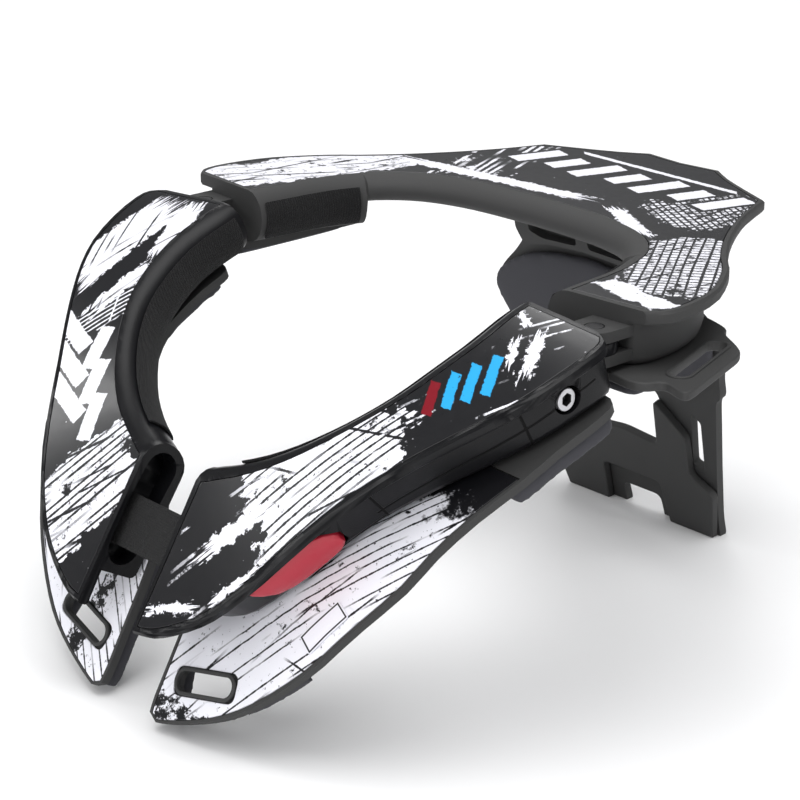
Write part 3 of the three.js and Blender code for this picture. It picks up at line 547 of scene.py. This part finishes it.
def chest_print(art, side, seed):
    """White, with long thin black lines, a black rear end and black splashes."""
    slope = 130.0 if side > 0 else 50.0
    body = 1.0 - either(
        art.lines(slope, 3.9, 0.72, seed, 0.56),
        art.lines(slope - 9.0 * side, 6.5, 0.85, seed + 1.0, 0.46),
        art.lines(slope + 60.0, 17.0, 1.0, seed + 6.0, 0.42),
        grunge(art, seed + 2.0, 0.60))
    ragged = art.field(art.x, art.y, seed, scale=0.10, detail=6.0, roughness=0.7)
    ragged = (ragged - 0.5) * 3.4
    rear = ((art.y - 86.0) * 0.05 + ragged) * 3.0 + 0.5
    tip = art.box((40.0 * side, 203.0), slope + 52.0, 70.0, 9.0, 9.0, seed + 7.0)
    body = body * rear.clipped() * (1.0 - tip * art.wear(0.30, 0.44, seed + 8.0))
    drops = either(
        art.splatter(4.0, 0.26, seed + 4.0) * art.wear(0.04, 0.47, seed + 5.0),
        art.splatter(1.8, 0.26, seed + 9.0) * art.wear(0.05, 0.47, seed + 3.0))
    return body * (1.0 - drops)


def printed_film(name, white, ink, paper, bars=None):
    """Glossy film printed in black and white, with an optional second colour."""
    shader = Shader(name)
    art = Print(shader)
    mask = white(art)
    colour = shader.mixed(mask, ink, paper)
    if bars:
        for colour_of_bar, bar_mask in bars(art):
            colour = shader.mixed(bar_mask, colour, colour_of_bar)
    place = shader.place()
    ripple = shader.noise(place, scale=60.0, detail=2.0)
    grain = shader.noise(place, scale=1500.0, detail=1.0)
    shader.bumped(grain * 0.2 + ripple, distance=0.00012, strength=0.5)
    return shader.finish(
        Base_Color=colour,
        Roughness=0.25 + 0.10 * shader.noise(place, scale=300.0, detail=3.0) + 0.05 * mask,
        Specular_IOR_Level=0.42,
        Coat_Weight=0.10,
        Coat_Roughness=0.10,
    )


def left_shell_bars(accent, red):
    """Slanted blue bars and a red one on the rear of the left panel."""
    def masks(art):
        bars = [
            art.bar((105.0 - 4.8 * i, 41.0 + 5.8 * i), 62.0, 20.0 - 1.5 * i, 4.4, 90.0 + i, 0.5)
            for i in range(4)]
        return [(accent, either(*bars[:3])), (red, bars[3])]
    return masks


def foam_skin(name, colour):
    """Closed-cell foam: matte, with pores and soft dents."""
    shader = Shader(name)
    place = shader.place()
    pores = shader.cells(place, 1300.0)
    dents = shader.noise(place, scale=75.0, detail=3.0)
    dust = shader.noise(place, scale=420.0, detail=4.0, roughness=0.7)
    shader.bumped(pores * 0.5 + dents * 1.6 + dust * 0.5, distance=0.0005, strength=0.75)
    light = tuple(1.9 * part for part in colour)
    return shader.finish(
        Base_Color=shader.mixed((dust - 0.35) * 0.9, colour, light),
        Roughness=0.82 + 0.12 * dents,
        Sheen_Weight=0.25,
        Sheen_Roughness=0.5,
    )


def hook_pile(name, colour):
    """Cut pile of a fastening tape: fuzzy, with faint rows over the strip's flat map, and a
    painted highlight where the pile stands highest.
    """
    shader = Shader(name)
    along, across = shader.flat()
    wobble = shader.noise(shader.vector(along, across, 2.0), scale=0.7, detail=2.0)
    rib = abs((along * 0.9 + wobble * 0.8).part() - 0.5) * 2.0
    loop = abs((across * 0.9 + (along * 0.9).whole() * 0.5 + wobble * 0.8).part() - 0.5) * 2.0
    fuzz = shader.noise(shader.place(), scale=1500.0, detail=4.0, roughness=0.85)
    clump = shader.noise(shader.place(), scale=420.0, detail=3.0, roughness=0.7)
    height = rib.low(loop + 0.3) * 0.25 + fuzz + clump * 0.6
    shader.bumped(height, distance=0.0007, strength=1.0)
    # The colour is lighter where the bump's height is greatest: a painted highlight on the raised
    # fibres, and the hollows keep the darker colour.
    light = tuple(4.5 * part for part in colour)
    return shader.finish(
        Base_Color=shader.mixed(((height - 0.95) * 1.4).clipped(), colour, light),
        Roughness=0.97 - 0.10 * fuzz,
        Sheen_Weight=0.08,
        Sheen_Roughness=0.45,
        Specular_IOR_Level=0.2,
    )


def tag_film(name, ink, paper):
    """A blank white tag with a thin black outline."""
    shader = Shader(name)
    x, y = shader.flat()
    edge = (TAG_SIZE[0] / 2 - abs(x)).low(TAG_SIZE[1] / 2 - abs(y))
    outline = line(abs(edge - 0.8), 0.34)
    scuff = shader.noise(shader.vector(x, y, 4.0), scale=1.2, detail=4.0)
    faint = shader.mixed(scuff * 0.25, paper, tuple(0.8 * part for part in paper))
    shader.bumped(scuff, distance=0.00005, strength=0.5)
    return shader.finish(
        Base_Color=shader.mixed(outline, faint, ink), Roughness=0.35 + 0.1 * scuff)


def black_steel(name):
    """Blackened steel, brighter where it is rubbed."""
    shader = Shader(name)
    rubbed = shader.noise(shader.place(), scale=500.0, detail=3.0)
    shader.bumped(rubbed, distance=0.00006, strength=0.6)
    return shader.finish(
        Base_Color=shader.mixed(rubbed, (0.012, 0.012, 0.013), (0.05, 0.05, 0.052)),
        Metallic=0.6,
        Roughness=0.42 + 0.16 * rubbed,
    )


def bright_steel(name):
    """Turned steel with fine rings of tool marks."""
    shader = Shader(name)
    place = shader.place()
    turned = shader.noise(place, scale=900.0, detail=2.0)
    shader.bumped(turned, distance=0.00006, strength=0.6)
    return shader.finish(
        Base_Color=shader.mixed(turned, (0.42, 0.42, 0.44), (0.72, 0.72, 0.74)),
        Metallic=0.95,
        Roughness=0.20 + 0.16 * turned,
    )


def red_plastic(name, colour):
    """Half-gloss red plastic with a fine orange peel."""
    shader = Shader(name)
    place = shader.place()
    peel = shader.noise(place, scale=700.0, detail=2.0)
    shade = shader.noise(place, scale=60.0, detail=3.0)
    shader.bumped(peel, distance=0.0001, strength=0.7)
    deep = tuple(0.62 * part for part in colour)
    return shader.finish(
        Base_Color=shader.mixed(shade, deep, colour),
        Roughness=0.27 + 0.12 * shade,
        Specular_IOR_Level=0.24,
    )


def painted_floor(name, colour):
    """Matte paint with a faint change of tone."""
    shader = Shader(name)
    place = shader.place()
    tone = shader.noise(place, scale=3.0, detail=2.0)
    pale = tuple(min(1.0, 1.03 * part) for part in colour)
    return shader.finish(Base_Color=shader.mixed(tone, colour, pale), Roughness=0.6 + 0.1 * tone)


def finish_named(name):
    """A finish by name, made once."""
    if name in bpy.data.materials:
        return bpy.data.materials[name]
    colours = bpy.context.scene.brace_colours
    ink, paper = tuple(colours.ink), tuple(colours.paper)
    makers = {
        "moulded": lambda: moulded_plastic(name, tuple(colours.moulded)),
        "moulded_wall": lambda: moulded_plastic(name, tuple(colours.moulded), grooves=True),
        "yoke_film": lambda: printed_film(name, yoke_print, ink, paper),
        "left_shell_film": lambda: printed_film(
            name, left_shell_print, ink, paper,
            left_shell_bars(tuple(colours.accent), tuple(colours.button))),
        "right_shell_film": lambda: printed_film(name, right_shell_print, ink, paper),
        "left_chest_film": lambda: printed_film(
            name, lambda art: chest_print(art, 1.0, 71.0), ink, paper),
        "right_chest_film": lambda: printed_film(
            name, lambda art: chest_print(art, -1.0, 81.0), ink, paper),
        "tag_film": lambda: tag_film(name, ink, paper),
        "black_steel": lambda: black_steel(name),
        "foam": lambda: foam_skin(name, tuple(colours.foam)),
        "hook_pile": lambda: hook_pile(name, tuple(colours.pile)),
        "steel": lambda: bright_steel(name),
        "red": lambda: red_plastic(name, tuple(colours.button)),
        "floor": lambda: painted_floor(name, tuple(colours.floor)),
    }
    return makers[name]()


# Work on pieces


def pick(piece):
    """Leaves one object selected and active."""
    bpy.ops.object.select_all(action="DESELECT")
    piece.select_set(True)
    bpy.context.view_layer.objects.active = piece


def pick_nothing():
    bpy.ops.object.select_all(action="DESELECT")
    bpy.context.view_layer.objects.active = None


def edit(piece, everything=True):
    """Edit mode with everything selected, or nothing."""
    pick(piece)
    bpy.ops.object.mode_set(mode="EDIT")
    bpy.ops.mesh.select_all(action="SELECT" if everything else "DESELECT")


def edit_where(piece, test):
    """Edit mode with only those vertices selected whose place passes a test."""
    edit(piece, everything=False)
    done()
    for vertex in piece.data.vertices:
        vertex.select = test(vertex.co)
    pick(piece)
    bpy.ops.object.mode_set(mode="EDIT")
    bpy.ops.mesh.select_mode(type="VERT")


def done():
    bpy.ops.object.mode_set(mode="OBJECT")


def with_modifier(piece, kind, **settings):
    """Adds a modifier, sets it and applies it."""
    pick(piece)
    modifier = piece.modifiers.new(kind.title(), kind)
    for name, value in settings.items():
        setattr(modifier, name, value)
    bpy.ops.object.modifier_apply(modifier=modifier.name)


def copy_of(node, name):
    """A merged copy of a CAD node's mesh, without the node's ties."""
    source = NODES[node]
    source.hide_viewport = False
    pick(source)
    bpy.ops.object.duplicate()
    piece = bpy.context.active_object
    piece.name = name
    piece.data.name = name
    piece.parent = None
    for key in [key for key in piece.keys() if key.startswith("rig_")]:
        del piece[key]
    edit(piece)
    bpy.ops.mesh.remove_doubles(threshold=2e-6)
    done()
    return piece


def in_quads(piece, face=12.0, shape=60.0):
    """Joins triangles into quads, up to two angles in degrees."""
    edit(piece)
    bpy.ops.mesh.tris_convert_to_quads(
        face_threshold=math.radians(face), shape_threshold=math.radians(shape))
    done()


def in_flat_faces(piece, angle):
    """Joins the triangles of each flat face, up to an angle in degrees."""
    edit(piece)
    bpy.ops.mesh.dissolve_limited(angle_limit=math.radians(angle))
    done()


def rounded(piece, width, segments=3, angle=40.0):
    """Rounds the sharp edges and shades the rest smooth."""
    with_modifier(
        piece, "BEVEL", width=width, segments=segments, limit_method="ANGLE",
        angle_limit=math.radians(angle), use_clamp_overlap=True, harden_normals=False)
    pick(piece)
    bpy.ops.object.shade_smooth_by_angle(angle=SMOOTH_ANGLE)
    with_modifier(piece, "WEIGHTED_NORMAL", keep_sharp=True, weight=60)


def paint(piece, finish):
    piece.data.materials.clear()
    piece.data.materials.append(finish_named(finish))


def settle(piece, node, finish):
    """Paints a finished piece and lets it stand for a CAD node."""
    paint(piece, finish)
    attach(piece, BODY_OF[node])
    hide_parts(node)
    return piece


def mesh_points(piece):
    points = np.empty(len(piece.data.vertices) * 3)
    piece.data.vertices.foreach_get("co", points)
    return points.reshape(-1, 3)


def put_points(piece, points):
    piece.data.vertices.foreach_set("co", np.ascontiguousarray(points).ravel())
    piece.data.update()


def down_the_front(points):
    """Length down the front curve and height above it, in millimetres, for each point."""
    y, z = points[:, 1] / MM, points[:, 2] / MM
    back, up = y - ARC_CENTRE[0], z - ARC_CENTRE[1]
    angle = np.arctan2(-back, up)
    along = CURVE_RADIUS * (angle - START_ANGLE)
    height = np.hypot(back, up) - CURVE_RADIUS
    end_y = ARC_CENTRE[0] - CURVE_RADIUS * math.sin(END_ANGLE)
    end_z = ARC_CENTRE[1] + CURVE_RADIUS * math.cos(END_ANGLE)
    past = -(y - end_y) * math.cos(END_ANGLE) - (z - end_z) * math.sin(END_ANGLE)
    above = -(y - end_y) * math.sin(END_ANGLE) + (z - end_z) * math.cos(END_ANGLE)
    straight = angle > END_ANGLE
    return np.where(straight, ARC_LENGTH + past, along), np.where(straight, above, height)


def on_the_front(x, along, height):
    """The point in metres at x, a length down the front curve and a height above it."""
    bent = min(along, ARC_LENGTH)
    angle = START_ANGLE + bent / CURVE_RADIUS
    radius = CURVE_RADIUS + height
    rest = along - bent
    y = ARC_CENTRE[0] - radius * math.sin(angle) - rest * math.cos(angle)
    z = ARC_CENTRE[1] + radius * math.cos(angle) - rest * math.sin(angle)
    return Vector((x * MM, y * MM, z * MM))


def flat_map(piece, name, pairs):
    """Writes a UV map from two lengths in millimetres for each vertex."""
    layer = piece.data.uv_layers.get(name) or piece.data.uv_layers.new(name=name)
    corners = np.empty(len(piece.data.loops), dtype=np.int32)
    piece.data.loops.foreach_get("vertex_index", corners)
    layer.data.foreach_set("uv", np.ascontiguousarray(pairs[corners] / MAP_SCALE).ravel())


def map_front(piece):
    """Maps a piece by x and the length down the front curve."""
    points = mesh_points(piece)
    along, _ = down_the_front(points)
    flat_map(piece, "flat", np.column_stack([points[:, 0] / MM, along]))


def map_wall(piece):
    """Maps a piece by the length down the front curve and the height over it."""
    flat_map(piece, "wall", np.column_stack(down_the_front(mesh_points(piece))))


def bend_to_front(piece):
    """Bends a piece modelled flat, in millimetres as (x, length, height), to the front."""
    points = mesh_points(piece)
    put_points(piece, np.array([on_the_front(*point) for point in points]))


def faces_outward(piece):
    edit(piece)
    bpy.ops.mesh.normals_make_consistent(inside=False)
    done()


class BRACE_OT_mouldings(bpy.types.Operator):
    """Finish the yoke and the two front shells"""

    bl_idname = "brace.mouldings"
    bl_label = "Mouldings"

    def execute(self, context):
        edge = context.scene.brace_sizes.shell_edge
        for node in ("rear_yoke", "left_front_shell", "right_front_shell"):
            piece = copy_of(node, node.replace("_shell", "_moulding") + "_finished")
            in_quads(piece)
            rounded(piece, edge, segments=2, angle=42.0)
            map_wall(piece)
            settle(piece, node, "moulded" if node == "rear_yoke" else "moulded_wall")
        return {"FINISHED"}


class BRACE_OT_plates(bpy.types.Operator):
    """Finish the chest plates, shoulder plates and the back support's layers"""

    bl_idname = "brace.plates"
    bl_label = "Plates"

    def execute(self, context):
        edge = context.scene.brace_sizes.plate_edge
        flat = ["back_support_plate", "back_leg_frame", "support_clamp", "support_bracket"]
        flat += [f"{side}_shoulder_plate" for side in SIDES]
        for node in flat:
            piece = copy_of(node, f"{node}_finished")
            in_flat_faces(piece, 0.6)
            rounded(piece, edge, segments=4, angle=35.0)
            settle(piece, node, "moulded")
        for side in SIDES:
            node = f"{side}_chest_plate"
            piece = copy_of(node, f"{node}_finished")
            in_quads(piece)
            rounded(piece, 0.7 * edge, segments=3, angle=42.0)
            settle(piece, node, "moulded")
        return {"FINISHED"}


class BRACE_OT_panels(bpy.types.Operator):
    """Print the five black and white panels"""

    bl_idname = "brace.panels"
    bl_label = "Printed panels"

    def execute(self, context):
        edge = context.scene.brace_sizes.film_edge
        films = {"rear_top_panel": "yoke_film"}
        for side in SIDES:
            films[f"{side}_top_panel"] = f"{side}_shell_film"
            films[f"{side}_chest_panel"] = f"{side}_chest_film"
        for node, film in films.items():
            piece = copy_of(node, f"{node}_print")
            in_quads(piece, shape=80.0)
            rounded(piece, edge, segments=2, angle=50.0)
            if node == "rear_top_panel":
                flat_map(piece, "flat", mesh_points(piece)[:, :2] / MM)
            else:
                map_front(piece)
            settle(piece, node, film)
        return {"FINISHED"}


class BRACE_OT_strips(bpy.types.Operator):
    """Cover the neck rims with ribbed hook tape"""

    bl_idname = "brace.strips"
    bl_label = "Hook tape"

    def execute(self, context):
        edge = context.scene.brace_sizes.film_edge
        for side in SIDES:
            for part in ("front", "rear"):
                node = f"{side}_{part}_hook_strip"
                piece = copy_of(node, f"{side}_{part}_tape")
                in_quads(piece, face=20.0, shape=80.0)
                rounded(piece, edge, segments=2, angle=50.0)
                points = mesh_points(piece)
                if part == "front":
                    along, height = down_the_front(points)
                    pairs = np.column_stack([along - points[:, 0] / MM, height])
                else:
                    pairs = points[:, 1:] / MM
                flat_map(piece, "flat", pairs)
                settle(piece, node, "hook_pile")
        return {"FINISHED"}


def swell(piece, voxel, furthest):
    """Blows a pad up as a cloth bag, lets no point go further than the cap and keeps it."""
    with_modifier(piece, "REMESH", mode="VOXEL", voxel_size=voxel, use_smooth_shade=True)
    start = mesh_points(piece)
    pick(piece)
    cloth = piece.modifiers.new("Cloth", "CLOTH")
    cloth.settings.use_pressure = True
    cloth.settings.uniform_pressure_force = CLOTH_PRESSURE
    cloth.settings.mass = CLOTH_MASS
    cloth.settings.tension_stiffness = CLOTH_STIFFNESS
    cloth.settings.compression_stiffness = CLOTH_STIFFNESS
    cloth.settings.effector_weights.gravity = 0.0
    scene = bpy.context.scene
    for number in range(1, CLOTH_FRAMES + 1):
        scene.frame_set(number)
    bpy.ops.object.modifier_apply(modifier=cloth.name)
    moved = mesh_points(piece) - start
    length = np.maximum(np.linalg.norm(moved, axis=1, keepdims=True), 1e-9)
    put_points(piece, start + moved * np.minimum(1.0, furthest / length))
    scene.frame_set(1)
    with_modifier(piece, "SMOOTH", factor=0.5, iterations=SMOOTH_STEPS)
    with_modifier(piece, "SUBSURF", levels=1, render_levels=1)
    pick(piece)
    bpy.ops.object.shade_smooth()


class BRACE_OT_pads(bpy.types.Operator):
    """Stuff the foam pads of the chest, the shoulders and the back"""

    bl_idname = "brace.pads"
    bl_label = "Foam pads"

    def execute(self, context):
        sizes = context.scene.brace_sizes
        nodes = ["back_support_pad"]
        for side in SIDES:
            nodes += [f"{side}_rear_chest_pad", f"{side}_front_chest_pad", f"{side}_shoulder_pad"]
        for node in nodes:
            piece = copy_of(node, f"{node}_foam")
            swell(piece, sizes.pad_voxel, sizes.pad_swell)
            settle(piece, node, "foam")
        return {"FINISHED"}


def pill_ring(name, straight, inner, wall, low, high):
    """A ring with two straight sides and round ends, modelled flat in millimetres."""
    pick_nothing()
    bpy.ops.mesh.primitive_cylinder_add(
        vertices=RING_SIDES, radius=inner, depth=high - low, end_fill_type="NOTHING",
        location=(0.0, 0.0, (low + high) / 2), rotation=(0.0, 0.0, math.pi / RING_SIDES))
    ring = bpy.context.active_object
    ring.name = name
    bpy.ops.object.transform_apply(location=True, rotation=True, scale=True)
    for side in (-1.0, 1.0):
        edit_where(ring, lambda place: place.x * side > 0)
        bpy.ops.transform.translate(value=(side * straight, 0.0, 0.0))
        done()
    with_modifier(ring, "SOLIDIFY", thickness=wall, offset=1.0)
    with_modifier(ring, "BEVEL", width=0.32 * wall, segments=3, limit_method="ANGLE",
                  angle_limit=math.radians(50.0))
    return ring


def turned_to(points, degrees, centre):
    """Points turned about the third axis and moved to a centre."""
    c, s = math.cos(math.radians(degrees)), math.sin(math.radians(degrees))
    x = points[:, 0] * c - points[:, 1] * s + centre[0]
    y = points[:, 0] * s + points[:, 1] * c + centre[1]
    return np.column_stack([x, y, points[:, 2]])


class BRACE_OT_trims(bpy.types.Operator):
    """Frame the strap slots and stick the blank tag on the left chest panel"""

    bl_idname = "brace.trims"
    bl_label = "Slot frames and tag"

    def execute(self, context):
        for side, sign in zip(SIDES, (1.0, -1.0)):
            chest_ring = pill_ring(
                f"{side}_chest_slot_frame", straight=10.5, inner=3.8, wall=1.5,
                low=-25.5, high=-23.6)
            points = turned_to(mesh_points(chest_ring), CHEST_SLOT_TURN, CHEST_SLOT)
            points[:, 0] *= sign
            put_points(chest_ring, points)
            bend_to_front(chest_ring)
            self.finish(chest_ring, f"{side}_front")
            tab_ring = pill_ring(
                f"{side}_tab_slot_frame", straight=17.2, inner=3.8, wall=1.3,
                low=132.6, high=136.4)
            points = turned_to(mesh_points(tab_ring), TAB_SLOT_TURN, TAB_SLOT)
            points[:, 0] *= sign
            put_points(tab_ring, points * MM)
            self.finish(tab_ring, "rear")
        self.tag()
        return {"FINISHED"}

    def finish(self, piece, body):
        faces_outward(piece)
        pick(piece)
        bpy.ops.object.shade_smooth_by_angle(angle=SMOOTH_ANGLE)
        paint(piece, "moulded")
        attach(piece, body)

    def tag(self):
        """A thin blank tag with round corners, bent to the chest panel."""
        pick_nothing()
        bpy.ops.mesh.primitive_grid_add(x_subdivisions=14, y_subdivisions=5, size=1.0)
        tag = bpy.context.active_object
        tag.name = "left_blank_tag"
        put_points(tag, mesh_points(tag) * np.array([*TAG_SIZE, 0.0]))
        near_end, near_side = TAG_SIZE[0] / 2 - 0.1, TAG_SIZE[1] / 2 - 0.1
        edit_where(
            tag, lambda place: abs(place.x) > near_end and abs(place.y) > near_side)
        bpy.ops.mesh.bevel(offset=TAG_CORNER, segments=4, affect="VERTICES")
        done()
        with_modifier(tag, "SOLIDIFY", thickness=TAG_THICK, offset=1.0)
        points = mesh_points(tag)
        flat_map(tag, "flat", points[:, :2])
        points = turned_to(points, TAG_TURN, TAG_PLACE)
        points[:, 2] += TAG_HEIGHT
        put_points(tag, points)
        bend_to_front(tag)
        faces_outward(tag)
        paint(tag, "tag_film")
        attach(tag, "left_front")


class BRACE_OT_fittings(bpy.types.Operator):
    """Finish the screws, hinge pins, latch tongue and release button"""

    bl_idname = "brace.fittings"
    bl_label = "Fittings"

    def execute(self, context):
        edge = context.scene.brace_sizes.shell_edge
        for side in SIDES:
            for part in ("clamp_screw", "hinge_pin"):
                node = f"{side}_{part}"
                piece = copy_of(node, f"{node}_turned")
                in_flat_faces(piece, 1.0)
                rounded(piece, edge, segments=3, angle=35.0)
                settle(piece, node, "steel" if part == "clamp_screw" else "black_steel")
                # Each clamp screw's hex socket is given the blackened steel as painted shade in
                # the recess.
                if part == "clamp_screw":
                    self.paint_socket_shade(piece)
        tongue = copy_of("latch_tongue", "latch_tongue_taped")
        rounded(tongue, 1.2 * MM, segments=4, angle=40.0)
        points = mesh_points(tongue)
        along, _ = down_the_front(points)
        flat_map(tongue, "flat", np.column_stack([along, points[:, 0] / MM]))
        settle(tongue, "latch_tongue", "hook_pile")
        button = copy_of("release_button", "release_button_moulded")
        in_quads(button, face=25.0, shape=80.0)
        rounded(button, 0.8 * MM, segments=4, angle=32.0)
        settle(button, "release_button", "red")
        return {"FINISHED"}

    def paint_socket_shade(self, screw):
        """The hex socket and its floor get the blackened steel: painted shade in the socket."""
        points = mesh_points(screw)
        low, high = points.min(axis=0), points.max(axis=0)
        middle = (low + high) / 2
        screw.data.materials.append(finish_named("black_steel"))
        for face in screw.data.polygons:
            off_axis = math.hypot(face.center.y - middle[1], face.center.z - middle[2])
            inside = abs(abs(face.center.x) - abs(middle[0])) < 0.48 * (high[0] - low[0])
            if off_axis < SOCKET_RADIUS * MM and inside:
                face.material_index = 1


class BRACE_OT_stage(bpy.types.Operator):
    """Set the pale floor, the soft lights and the camera"""

    bl_idname = "brace.stage"
    bl_label = "Floor, lights and camera"

    def execute(self, context):
        pick_nothing()
        bpy.ops.mesh.primitive_plane_add(size=FLOOR_SIDE, location=(0.0, 0.0, 0.0))
        floor = context.active_object
        floor.name = "floor"
        floor.data.materials.append(finish_named("floor"))
        world = bpy.data.worlds.new("studio")
        world.use_nodes = True
        world.node_tree.nodes["Background"].inputs[0].default_value = WORLD_COLOUR
        world.node_tree.nodes["Background"].inputs[1].default_value = WORLD_STRENGTH
        context.scene.world = world
        for name, place, side, watts in SOFT_LIGHTS:
            self.light(name, place, side, watts)
        bpy.ops.object.light_add(type="SUN", location=SKY_PLACE)
        sky = context.active_object
        sky.name = "sky"
        sky.data.energy = SKY_STRENGTH
        sky.data.angle = SKY_SPREAD
        sky.rotation_euler = SKY_TILT
        bpy.ops.object.camera_add(location=CAMERA_PLACE)
        camera = context.active_object
        camera.name = "photo_camera"
        camera.rotation_euler = (math.pi / 2 - CAMERA_ELEVATION, 0.0, CAMERA_AZIMUTH)
        camera.data.lens = CAMERA_LENS
        camera.data.sensor_width = CAMERA_SENSOR
        context.scene.camera = camera
        context.scene.view_settings.view_transform = "Standard"
        return {"FINISHED"}

    def light(self, name, place, size, watts):
        """A square soft light that faces the brace."""
        bpy.ops.object.light_add(type="AREA", location=place)
        lamp = bpy.context.active_object
        lamp.name = name
        lamp.data.size = size
        lamp.data.energy = watts
        aim = Vector(LIGHT_AIM) - Vector(place)
        lamp.rotation_euler = aim.to_track_quat("-Z", "Y").to_euler()


class BRACE_PT_panel(bpy.types.Panel):
    """Sizes, colours and steps of the neck brace"""

    bl_label = "Neck Brace"
    bl_idname = "BRACE_PT_panel"
    bl_space_type = "VIEW_3D"
    bl_region_type = "UI"
    bl_category = "Neck Brace"

    def draw(self, context):
        for group in (context.scene.brace_sizes, context.scene.brace_colours):
            for name in group.__annotations__:
                self.layout.prop(group, name)
        for operator in OPERATORS:
            self.layout.operator(operator.bl_idname)


OPERATORS = (
    BRACE_OT_stage,
    BRACE_OT_mouldings,
    BRACE_OT_plates,
    BRACE_OT_panels,
    BRACE_OT_strips,
    BRACE_OT_pads,
    BRACE_OT_trims,
    BRACE_OT_fittings,
)
CLASSES = (BraceSizes, BraceColours, *OPERATORS, BRACE_PT_panel)


def register():
    for cls in CLASSES:
        bpy.utils.register_class(cls)
    bpy.types.Scene.brace_sizes = bpy.props.PointerProperty(type=BraceSizes)
    bpy.types.Scene.brace_colours = bpy.props.PointerProperty(type=BraceColours)


def unregister():
    del bpy.types.Scene.brace_colours
    del bpy.types.Scene.brace_sizes
    for cls in reversed(CLASSES):
        bpy.utils.unregister_class(cls)


def main():
    register()
    bpy.ops.brace.stage()
    bpy.ops.brace.mouldings()
    bpy.ops.brace.plates()
    bpy.ops.brace.panels()
    bpy.ops.brace.strips()
    bpy.ops.brace.pads()
    bpy.ops.brace.trims()
    bpy.ops.brace.fittings()


if __name__ == "__main__":
    main()
